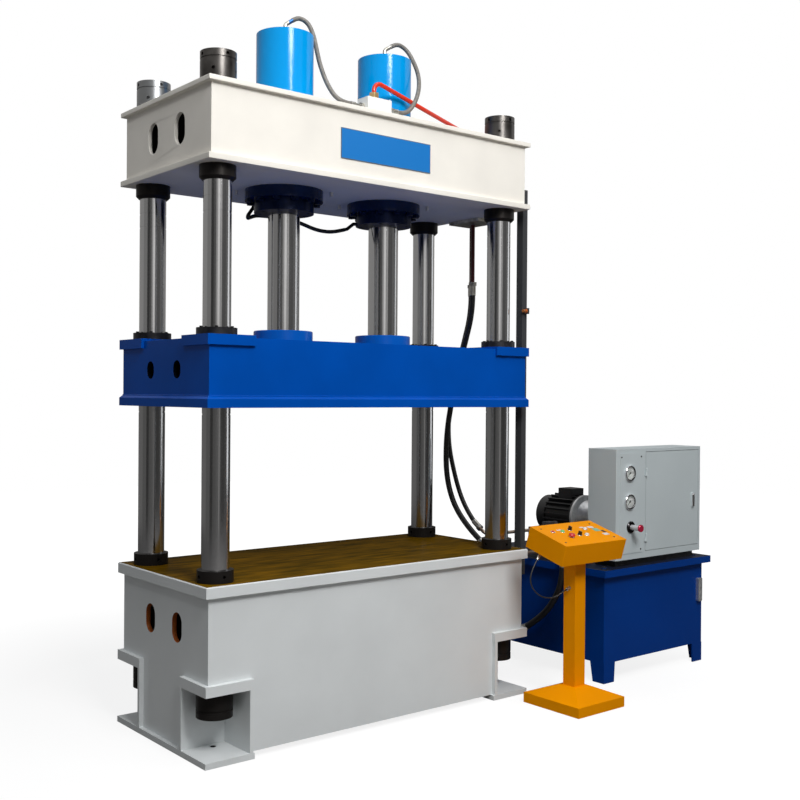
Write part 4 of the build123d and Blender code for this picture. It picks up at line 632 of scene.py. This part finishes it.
blued_nuts, tree, bsdf = shader("blued_nuts", (0.12, 0.12, 0.12), rough=0.33, metal=0.85)
tone = mottle(tree, bsdf, (0.045, 0.042, 0.040), (0.12, 0.115, 0.11), scale=7.0, detail=5.0)
over_crown = above(tree, UPPER_NUTS)
# One upper nut is made paler, and below the crown the nuts are made nearly black.
paler_nut_tone = blend_colour(tree, inside_box(tree, *PALE_NUT), tone, (0.24, 0.25, 0.26))
two_finishes(tree, bsdf, over_crown, (0.022, 0.020, 0.019), paler_nut_tone)
two_values(tree, bsdf, over_crown, 0.4, 0.95, "Metallic")
two_values(tree, bsdf, over_crown, 1.15, 1.5, "IOR")
skin(tree, bsdf, scale=14.0, strength=0.10, distance=0.0004, stretch=(1, 1, 40))

navy_steel, tree, bsdf = shader("navy_steel", (0.006, 0.012, 0.040), rough=0.28, metal=0.2,
                                gloss=0.15)
tone = mottle(tree, bsdf, (0.004, 0.011, 0.045), (0.008, 0.020, 0.075), scale=14.0, detail=4.0)
two_finishes(tree, bsdf, above(tree, STUD_TOP), tone, (0.75, 0.73, 0.68))
skin(tree, bsdf, scale=200.0, strength=0.15, distance=0.0004)

rail_steel, tree, bsdf = shader("rail_steel", (0.050, 0.052, 0.056), rough=0.45, metal=0.1,
                                gloss=0.2)
skin(tree, bsdf, scale=180.0, strength=0.2, distance=0.0004)
print("materials so far", len(bpy.data.materials))

# %% [markdown]
# Hose fittings are zinc plated and mottled from handling. Those at the link hose are blackened, and
# a turn of blue tape marks one of the upper ferrules. The oil pipes are drawn tube with a brown
# bloom, and the castings of the power unit are aluminium with a grainy skin. Each metal differs
# from the next mostly in its two tones, its roughness and the size of its grain.

# %% Finishes: fittings, tubes and castings
LINK_FITTINGS = (0, 0.1, 2.80), (0.62, 0.25, 0.085)
TAPE = (-0.318, 0, 3.860), (0.014, 0.03, 0.03)

fitting_steel, tree, bsdf = shader("fitting_steel", (0.50, 0.49, 0.45), rough=0.32, metal=0.9)
tone = mottle(tree, bsdf, (0.40, 0.38, 0.33), (0.62, 0.61, 0.57), scale=40.0, detail=4.0)
link_fittings = inside_box(tree, *LINK_FITTINGS)
shown = blend_colour(tree, link_fittings, tone, (0.012, 0.012, 0.014))
two_finishes(tree, bsdf, inside_box(tree, *TAPE), shown, (0.05, 0.16, 0.42))
two_values(tree, bsdf, link_fittings, 0.9, 0.1, "Metallic")
uneven_gloss(tree, bsdf, 0.22, 0.42, scale=25.0)

drawn_tube, tree, bsdf = shader("drawn_tube", (0.30, 0.22, 0.17), rough=0.35, metal=0.8)
mottle(tree, bsdf, (0.20, 0.13, 0.09), (0.42, 0.34, 0.28), scale=12.0, detail=5.0)
skin(tree, bsdf, scale=90.0, strength=0.2, distance=0.0004)

machined_iron, tree, bsdf = shader("machined_iron", (0.24, 0.24, 0.24), rough=0.38, metal=0.9)
skin(tree, bsdf, scale=30.0, strength=0.15, distance=0.0004, stretch=(1, 1, 20))

cast_aluminium, tree, bsdf = shader("cast_aluminium", (0.60, 0.61, 0.62), rough=0.40, metal=0.85)
mottle(tree, bsdf, (0.48, 0.49, 0.50), (0.68, 0.69, 0.70), scale=30.0, detail=6.0)
skin(tree, bsdf, scale=220.0, strength=0.3, distance=0.0006)

valve_steel, tree, bsdf = shader("valve_steel", (0.10, 0.10, 0.11), rough=0.40, metal=0.7)
skin(tree, bsdf, scale=150.0, strength=0.2, distance=0.0004)

copper_switch, tree, bsdf = shader("copper_switch", (0.62, 0.22, 0.07), rough=0.28, metal=0.6)
uneven_gloss(tree, bsdf, 0.2, 0.4, scale=60.0)
print("materials so far", len(bpy.data.materials))

# %% [markdown]
# Plastics scatter light just below the surface and are a little rougher than paint. Real scatter
# would cost time and not show at this size, so a soft gloss stands for it. The sign plate is left
# bare: a blue field inside a narrow grey rim, which a box mask separates. The dark rim is painted
# shade along the plate's edge.

# %% Finishes: plastic and sign
SIGN_BLUE = (0.008, 0.185, 0.56)
SIGN_FIELD = (0.004, -0.47, 3.110), (0.3035, 0.05, 0.0765)


def moulded(name, colour, rough, coat):
    """A moulded plastic with a faint skin."""
    material, tree, bsdf = shader(name, colour, rough, coat=coat)
    uneven_gloss(tree, bsdf, rough * 0.8, rough * 1.3, scale=80.0)
    skin(tree, bsdf, scale=500.0, strength=0.08, distance=0.0002)
    return material


black_plastic = moulded("black_plastic", (0.012, 0.012, 0.013), rough=0.28, coat=0.3)
red_plastic = moulded("red_plastic", (0.60, 0.018, 0.014), rough=0.25, coat=0.3)
dial_white = moulded("dial_white", (0.85, 0.85, 0.83), rough=0.5, coat=0.0)
print_black = moulded("print_black", (0.02, 0.02, 0.02), rough=0.6, coat=0.0)
label_plate = moulded("label_plate", (0.72, 0.74, 0.76), rough=0.35, coat=0.1)
label_green = moulded("label_green", (0.20, 0.50, 0.38), rough=0.35, coat=0.1)

sign_face, tree, bsdf = shader("sign_face", SIGN_BLUE, rough=0.3)
# The rim round the blue field is painted dark grey: painted shade along the plate's edge.
two_finishes(tree, bsdf, inside_box(tree, *SIGN_FIELD), (0.10, 0.14, 0.19), SIGN_BLUE)
print("materials so far", len(bpy.data.materials))

# %% [markdown]
# Hose covers are matt rubber with a woven look that only shows close up. The braid could be made as
# geometry, but its threads are far smaller than a pixel, so a fine bump is enough. The barrels'
# hoses are grey, the others black.

# %% Finishes: rubber
def rubber(name, colour, rough=0.55):
    """Hose cover: matt, with a fine braid under the skin."""
    material, tree, bsdf = shader(name, colour, rough)
    dark = tuple(c * 0.8 for c in colour)
    pale = tuple(c * 1.15 for c in colour)
    mottle(tree, bsdf, dark, pale, scale=60.0, detail=3.0)
    skin(tree, bsdf, scale=700.0, strength=0.35, distance=0.0004)
    return material


grey_rubber = rubber("grey_rubber", (0.165, 0.152, 0.135))
black_rubber = rubber("black_rubber", (0.014, 0.014, 0.014), rough=0.42)
print("materials so far", len(bpy.data.materials))

# %% [markdown]
# The gauges have clear glasses, which let light through. The console's lamps don't: a real lens is
# frosted, so an opaque shader with a clear coat looks nearer to it than glass does. The left lamp
# is green. The valve's handle is a pale rod with a crimson cap on its near end.

# %% Finishes: glass, lamps and valve handle
GREEN_LAMP = 1.07
VALVE_CAP = -0.7308
LENS_WHITE = (0.80, 0.81, 0.78)
ROD_GREY = (0.62, 0.62, 0.63)

clear_glass, tree, bsdf = shader("clear_glass", (0.95, 0.97, 0.98), rough=0.03)
bsdf.inputs["Transmission Weight"].default_value = 1.0
bsdf.inputs["IOR"].default_value = 1.45

lamp_lens, tree, bsdf = shader("lamp_lens", LENS_WHITE, rough=0.25, coat=0.3)
right_of_green = above(tree, GREEN_LAMP, axis="X", soften=0.005)
two_finishes(tree, bsdf, right_of_green, (0.16, 0.62, 0.20), LENS_WHITE)
skin(tree, bsdf, scale=400.0, strength=0.1, distance=0.0002)

valve_finish, tree, bsdf = shader("valve_rod_finish", ROD_GREY, rough=0.22, metal=0.3)
behind_cap = above(tree, VALVE_CAP, axis="Y", soften=0.0004)
two_finishes(tree, bsdf, behind_cap, (0.52, 0.015, 0.06), ROD_GREY)
skin(tree, bsdf, scale=300.0, strength=0.1, distance=0.0002)
print("materials", len(bpy.data.materials))

# %% [markdown]
# Each CAD node now gets its finish. The list below goes by finish, because a workshop also paints
# everything of one colour in one go.

# %% Which finish goes where
FINISHES = {
    cream_enamel: ["crown_weldment"],
    bed_enamel: ["bed_weldment"],
    slide_enamel: ["slide_weldment"],
    flange_enamel: ["rod_flanges"],
    cylinder_enamel: ["cylinder_left", "cylinder_right"],
    navy_steel: ["cylinder_glands", "cylinder_bolts"],
    tank_enamel: ["tank_body", "tank_lid"],
    hard_chrome: ["guide_columns", "piston_rods"],
    bright_chrome: ["gauge_cases", "door_handle", "control_bezels"],
    blued_nuts: ["column_nuts"],
    blackened: ["guide_bushes", "slide_bolts", "cabinet_plinth", "suction_strainer"],
    machined_iron: ["pistons", "motor_rotor"],
    white_enamel: ["manifold_block"],
    fitting_steel: ["hose_fittings"],
    red_enamel: ["pressure_pipe"],
    drawn_tube: ["oil_pipes"],
    rail_steel: ["limit_rail"],
    copper_switch: ["limit_switch"],
    sign_face: ["sign_plate"],
    cast_aluminium: ["level_gauge", "bell_housing", "pump"],
    cabinet_enamel: ["cabinet_shell", "cabinet_door", "instrument_panel"],
    clear_glass: ["gauge_lenses"],
    motor_black: ["motor_frame", "fan_cover", "motor_fan"],
    valve_steel: ["valve_block", "control_gear"],
    console_enamel: ["console_stand", "console_box", "console_face"],
    black_plastic: ["selector_switch", "black_knob", "lower_needle", "upper_needle"],
    lamp_lens: ["indicator_lamps"],
    red_plastic: ["red_button", "emergency_stop"],
    valve_finish: ["valve_handle"],
    black_rubber: ["rod_seals"],
}
print("finishes", len(FINISHES))

# %% [markdown]
# The imported meshes are loose triangles, so a Weld modifier joins them, smooth shading rounds the
# turned pieces, and an Edge Split keeps their corners crisp. A small Bevel on the plate work
# catches the light along the edges, as a ground and painted edge does. A bevel also bends the
# shading of the flat face beside it, so a Weighted Normal modifier makes those faces flat again.
# Modifiers are used rather than edits, because they leave the CAD mesh as it came.

# %% Dress the CAD nodes
EDGES = {"crown_weldment": 0.003, "slide_weldment": 0.003, "tank_body": 0.002,
         "tank_lid": 0.002, "cabinet_shell": 0.001, "cabinet_door": 0.001, "console_box": 0.001,
         "console_stand": 0.002, "manifold_block": 0.001, "sign_plate": 0.001, "limit_rail": 0.001}
CORNER = math.radians(32)
WELD_REACH = 0.00002


def dress(node, material):
    """Gives a CAD node its finish and its shading."""
    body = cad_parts[node]
    body.data.materials.clear()
    body.data.materials.append(material)
    body.data.polygons.foreach_set("use_smooth", [True] * len(body.data.polygons))
    weld = body.modifiers.new("join_triangles", "WELD")
    weld.merge_threshold = WELD_REACH
    if node in EDGES:
        bevel = body.modifiers.new("soft_edges", "BEVEL")
        bevel.width = EDGES[node]
        bevel.segments = 2
        bevel.limit_method = "ANGLE"
        bevel.angle_limit = CORNER
    split = body.modifiers.new("crisp_corners", "EDGE_SPLIT")
    split.split_angle = CORNER
    if node in EDGES:
        body.modifiers.new("flat_faces", "WEIGHTED_NORMAL")


for material, nodes in FINISHES.items():
    for node in nodes:
        dress(node, material)
print("dressed", sum(len(nodes) for nodes in FINISHES.values()), "nodes")

# %% [markdown]
# Hoses are curves. A bent cylinder would flatten in its bends, but a curve keeps its round section.
# Each stands for a tube of the CAD model, keeps both its ends and follows its route as a smooth
# spline drawn along the points below. A hose keeps the length it was cut to; the call that
# describes the cord holds the CAD tube's length, which is only printed, next to its diameter.

# %% Hoses: the helper
HOSE_ROUNDNESS = 6
HOSE_SMOOTHNESS = 12


def hose(name, node, route, dia, length, material):
    """A flexible hose along a spline, held at both ends."""
    data = bpy.data.curves.new(name, "CURVE")
    data.dimensions = "3D"
    data.bevel_depth = dia / 2
    data.bevel_resolution = HOSE_ROUNDNESS
    data.resolution_u = HOSE_SMOOTHNESS
    data.use_fill_caps = True
    spline = data.splines.new("NURBS")
    spline.points.add(len(route) - 1)
    for point, place in zip(spline.points, route):
        point.co = (*place, 1)
    spline.order_u = 3
    spline.use_endpoint_u = True
    piece = bpy.data.objects.new(name, data)
    piece.data.materials.append(material)
    bpy.context.scene.collection.objects.link(piece)
    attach(piece, "machine")
    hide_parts(node)
    print(name, length, "m")


# %% [markdown]
# Two grey hoses rise from the caps of the barrels and fall to the manifold block. They are thin and
# limp, so each first arches over its fitting and then sags to the block in a loose S. A shorter
# black hose links the two glands under the crown and sags a little in its middle.

# %% Hoses: barrels and glands
hose("left_barrel_hose", "top_hose_left", [
    (-0.303, 0, 3.868), (-0.278, 0, 3.886), (-0.248, -0.003, 3.890), (-0.220, -0.009, 3.880),
    (-0.197, -0.017, 3.855), (-0.186, -0.040, 3.795), (-0.189, -0.073, 3.711),
    (-0.192, -0.108, 3.624), (-0.179, -0.148, 3.524), (-0.152, -0.177, 3.454),
    (-0.123, -0.190, 3.426), (-0.086, -0.200, 3.412), (-0.046, -0.200, 3.412)],
    0.025, 0.683, grey_rubber)
hose("right_barrel_hose", "top_hose_right", [
    (0.398, 0, 3.869), (0.428, 0, 3.888), (0.464, -0.003, 3.892), (0.499, -0.008, 3.877),
    (0.526, -0.019, 3.847), (0.540, -0.046, 3.789), (0.527, -0.093, 3.726),
    (0.497, -0.145, 3.657), (0.458, -0.190, 3.586), (0.419, -0.219, 3.524),
    (0.385, -0.229, 3.472), (0.352, -0.229, 3.434), (0.312, -0.228, 3.412),
    (0.268, -0.228, 3.412)],
    0.025, 0.757, grey_rubber)
hose("gland_hose", "gland_link_hose", [
    (-0.470, 0.170, 2.777), (-0.415, 0.202, 2.800), (-0.350, 0.216, 2.806),
    (-0.270, 0.206, 2.806), (-0.190, 0.176, 2.797), (-0.128, 0.143, 2.774),
    (-0.062, 0.120, 2.748), (0.005, 0.110, 2.740), (0.075, 0.105, 2.746), (0.140, 0.102, 2.765)],
    0.022, 0.653, black_rubber)

# %% [markdown]
# Two thick hoses carry the oil down from the crown to the pipes beside the table. They are stiff
# and bow out behind the columns in one long bend. A short one feeds the pump from the tank, and a
# thin lead hangs under the console in a shallow loop. They only differ in their points and size.

# %% Hoses: drop hoses, supply hose and lead
hose("main_drop_hose", "drop_hose_main", [
    (1.150, 0.078, 2.440), (1.150, 0.078, 2.330), (1.150, 0.148, 2.130), (1.150, 0.266, 1.790),
    (1.150, 0.328, 1.500), (1.150, 0.316, 1.205), (1.150, 0.178, 0.980), (1.150, -0.010, 0.866)],
    0.036, 1.714, black_rubber)
hose("return_drop_hose", "drop_hose_return", [
    (1.195, 0.143, 2.440), (1.195, 0.143, 2.330), (1.195, 0.212, 2.130), (1.195, 0.332, 1.790),
    (1.195, 0.362, 1.500), (1.195, 0.275, 1.225), (1.195, 0.180, 1.050), (1.195, 0.095, 0.974)],
    0.030, 1.596, black_rubber)
hose("tank_supply_hose", "supply_hose", [
    (1.540, -0.368, 0.700), (1.540, -0.360, 0.600), (1.540, -0.300, 0.480),
    (1.540, -0.190, 0.355), (1.540, -0.060, 0.272)],
    0.042, 0.553, black_rubber)
hose("console_lead", "console_cable", [
    (0.890, -0.760, 0.858), (0.852, -0.758, 0.806), (0.830, -0.760, 0.745),
    (0.850, -0.770, 0.686), (0.900, -0.786, 0.645), (0.962, -0.806, 0.634),
    (1.012, -0.820, 0.650), (1.042, -0.825, 0.670), (1.070, -0.825, 0.676)],
    0.008, 0.438, black_rubber)

# %% [markdown]
# Small pieces are modelled in bmesh and placed by moving their vertices, so each object stays at
# the origin. They could be objects with a place of their own, but the export bakes each object at
# the origin, where its paint would slide. One helper turns a bmesh into a piece that rides on a CAD
# body, and one makes a bar.

# %% Helpers for small pieces
DOUBLES_REACH = 0.00001


def make_piece(name, bm, material, body, smooth=True):
    """Turns a bmesh into a finished piece."""
    bmesh.ops.remove_doubles(bm, verts=bm.verts, dist=DOUBLES_REACH)
    bmesh.ops.recalc_face_normals(bm, faces=bm.faces)
    mesh = bpy.data.meshes.new(name)
    bm.to_mesh(mesh)
    bm.free()
    mesh.polygons.foreach_set("use_smooth", [smooth] * len(mesh.polygons))
    piece = bpy.data.objects.new(name, mesh)
    piece.data.materials.append(material)
    bpy.context.scene.collection.objects.link(piece)
    if smooth:
        split = piece.modifiers.new("crisp_corners", "EDGE_SPLIT")
        split.split_angle = CORNER
    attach(piece, body)
    print(name, len(mesh.polygons), "faces")


def cut_bar(bm, size, place, soften=0.0):
    """A bar at a place given as a matrix, with its edges taken off where soften is given."""
    made = bmesh.ops.create_cube(bm, size=1, matrix=place @ Matrix.Diagonal((*size, 1)))
    if soften:
        edges = list({e for v in made["verts"] for e in v.link_edges})
        bmesh.ops.bevel(bm, geom=edges, offset=soften, segments=2, profile=0.5,
                        affect="EDGES", material=-1)


# %% [markdown]
# The pressure gauges have white dials with a ring of graduations. A printed picture would need an
# image, and geometry stays sharp from any distance. A dial is a thin disc just in front of the
# case's seat. Each mark is a thin bar turned to its angle, from the lower left round to the lower
# right, over the same 270 degrees as the needle, and every tenth mark is longer and thicker.

# %% Gauge dials
GAUGES = {"lower": (1.841, 1.124), "upper": (1.841, 1.305)}
TO_FRONT = Matrix.Rotation(math.radians(90), 4, "X")
DIAL_Y = -0.65725
DIAL_RADIUS = 0.0395
DIAL_THICKNESS = 0.0004
DIAL_RIM = 0.003
FIRST_MARK = 225
SWEEP = 270
STEPS = 50
LONG_EVERY = 10
LONG_MARK = (0.007, 0.0011, 0.0002)
SHORT_MARK = (0.004, 0.0005, 0.0002)
MARK_LIFT = 0.0003

for label, (gx, gz) in GAUGES.items():
    place = Matrix.Translation((gx, DIAL_Y, gz)) @ TO_FRONT
    bm = bmesh.new()
    bmesh.ops.create_cone(bm, cap_ends=True, segments=64, radius1=DIAL_RADIUS,
                          radius2=DIAL_RADIUS, depth=DIAL_THICKNESS, matrix=place)
    make_piece(f"{label}_dial", bm, dial_white, "machine")
    bm = bmesh.new()
    for i in range(STEPS + 1):
        mark = SHORT_MARK if i % LONG_EVERY else LONG_MARK
        radius = DIAL_RADIUS - DIAL_RIM - mark[0] / 2
        angle = math.radians(FIRST_MARK - SWEEP * i / STEPS)
        spoke = Matrix.Rotation(angle, 4, "Z") @ Matrix.Translation((radius, 0, MARK_LIFT))
        cut_bar(bm, mark, place @ spoke)
    make_piece(f"{label}_dial_marks", bm, print_black, "machine", False)

# %% [markdown]
# The console's face has a few label plates, left bare. They lie on a sloping plane. Each could be
# turned and moved by hand, but a matrix that stands for the plane is simpler: a row below holds how
# far a plate lies to the side and up the slope, then its width, its height and its finish.

# %% Console labels
TILT = math.radians(16.4)
FACE = Matrix.Translation((1.136, -0.994, 0.959)) @ Matrix.Rotation(TILT, 4, "X")
LABEL_THICKNESS = 0.0012
LABEL_EDGE = 0.0003
LABELS = (
    ("pale_label", 0.165, 0.205, 0.044, 0.022, label_plate),
    ("green_label", 0.172, 0.164, 0.046, 0.040, label_green),
    ("dark_label", 0.206, 0.135, 0.022, 0.030, print_black),
    ("white_label", 0.186, 0.098, 0.044, 0.026, label_plate),
    ("lamp_label", 0.095, 0.213, 0.034, 0.012, label_plate),
    ("green_lamp_label", -0.104, 0.210, 0.034, 0.012, label_plate),
)

for name, across, slope, width, height, material in LABELS:
    bm = bmesh.new()
    place = FACE @ Matrix.Translation((across, slope, LABEL_THICKNESS / 2))
    cut_bar(bm, (width, height, LABEL_THICKNESS), place, LABEL_EDGE)
    make_piece(name, bm, material, "machine", False)

# %% [markdown]
# Socket screws hold the console's face and the gauge panel, one in each corner. A head is a low
# cone with its tip cut off. The socket could be cut with a Boolean, but an inset of the top face,
# pushed down, gives the same shape and keeps the mesh closed.

# %% Screws
SCREW_RADIUS = 0.006
HEAD_TAPER = 0.7
HEAD_HEIGHT = 0.45
SOCKET_RIM = 0.35
SOCKET_DEPTH = 0.3
PANEL_FRONT = -0.655
FACE_CORNERS = ((-0.215, 0.048), (0.203, 0.048), (-0.215, 0.246), (0.203, 0.246))
PANEL_CORNERS = ((1.763, 1.409), (1.957, 1.409), (1.763, 0.815), (1.957, 0.815))


def screw_head(bm, place, radius):
    """A low tapered head with a round socket sunk into it."""
    height = radius * HEAD_HEIGHT
    made = bmesh.ops.create_cone(bm, cap_ends=True, segments=24, radius1=radius,
                                 radius2=radius * HEAD_TAPER, depth=height,
                                 matrix=place @ Matrix.Translation((0, 0, height / 2)))
    bm.normal_update()
    outward = (place.to_3x3() @ Vector((0, 0, 1))).normalized()
    faces = {face for vert in made["verts"] for face in vert.link_faces}
    top = [face for face in faces if face.normal.dot(outward) > 0.99]
    bmesh.ops.inset_region(bm, faces=top, thickness=radius * SOCKET_RIM)
    bmesh.ops.translate(bm, vec=outward * radius * -SOCKET_DEPTH, verts=top[0].verts)


bm = bmesh.new()
for across, slope in FACE_CORNERS:
    screw_head(bm, FACE @ Matrix.Translation((across, slope, 0)), SCREW_RADIUS)
make_piece("console_screws", bm, blackened, "machine")

bm = bmesh.new()
for x, z in PANEL_CORNERS:
    screw_head(bm, Matrix.Translation((x, PANEL_FRONT, z)) @ TO_FRONT, SCREW_RADIUS)
make_piece("panel_screws", bm, blackened, "machine")

# %% [markdown]
# The tank's lid has a boss in each corner, closed by a black plug. A plug is a short disc with a
# slight taper, which gives its rim a thin highlight without a bevel.

# %% Lid plugs
BOSS_TOP = 0.717
PLUG_X = (1.654, 2.581)
PLUG_Y = (-0.608, 0.494)
PLUG_HEIGHT = 0.006
PLUG_FOOT = 0.0155
PLUG_TOP = 0.0145

bm = bmesh.new()
for x in PLUG_X:
    for y in PLUG_Y:
        middle = Matrix.Translation((x, y, BOSS_TOP + PLUG_HEIGHT / 2))
        bmesh.ops.create_cone(bm, cap_ends=True, segments=32, radius1=PLUG_FOOT,
                              radius2=PLUG_TOP, depth=PLUG_HEIGHT, matrix=middle)
make_piece("lid_plugs", bm, blackened, "machine")

# %% [markdown]
# A weldment shows its seams. A bead is a thin fillet in the corner between two plates. The ripples
# of the pass could be modelled too, but they are smaller than a pixel, so a bead is a plain round
# bar, half sunk into the corner. Beads run between the crown's walls and both its plates, under the
# bed's table and over the slide's flange. A loop below holds half its length and width, its height
# and the bead's radius.

# %% Weld beads: the helpers
def bead(bm, start, end, radius):
    """A bead along a straight corner."""
    a = Vector(start)
    b = Vector(end)
    run = b - a
    place = Matrix.Translation((a + b) / 2) @ run.to_track_quat("Z", "Y").to_matrix().to_4x4()
    bmesh.ops.create_cone(bm, cap_ends=True, segments=10, radius1=radius, radius2=radius,
                          depth=run.length, matrix=place)


def wall_loop(bm, half_x, half_y, z, radius):
    """Beads round four walls."""
    corners = [(-half_x, -half_y, z), (half_x, -half_y, z), (half_x, half_y, z),
               (-half_x, half_y, z)]
    for start, end in zip(corners, corners[1:] + corners[:1]):
        bead(bm, start, end, radius)


# %% Weld beads: crown, bed and slide
WELDS = (
    ("crown_welds", cream_enamel, "machine", "cream_paint",
     ((1.066, 0.466, 2.945, 0.005), (1.066, 0.466, 3.290, 0.004))),
    ("bed_welds", bed_enamel, "machine", "bed_paint", ((1.065, 0.465, 0.814, 0.004),)),
    ("slide_welds", slide_enamel, "slide", "slide_blue", ((1.074, 0.474, 1.784, 0.004),)),
)

for name, material, body, slot_name, loops in WELDS:
    bm = bmesh.new()
    for loop in loops:
        wall_loop(bm, *loop)
    make_piece(name, bm, material, body)

# %% Boxes as plain lists
def corners(box):
    """A box as plain lists."""
    return [[float(v) for v in corner] for corner in box]
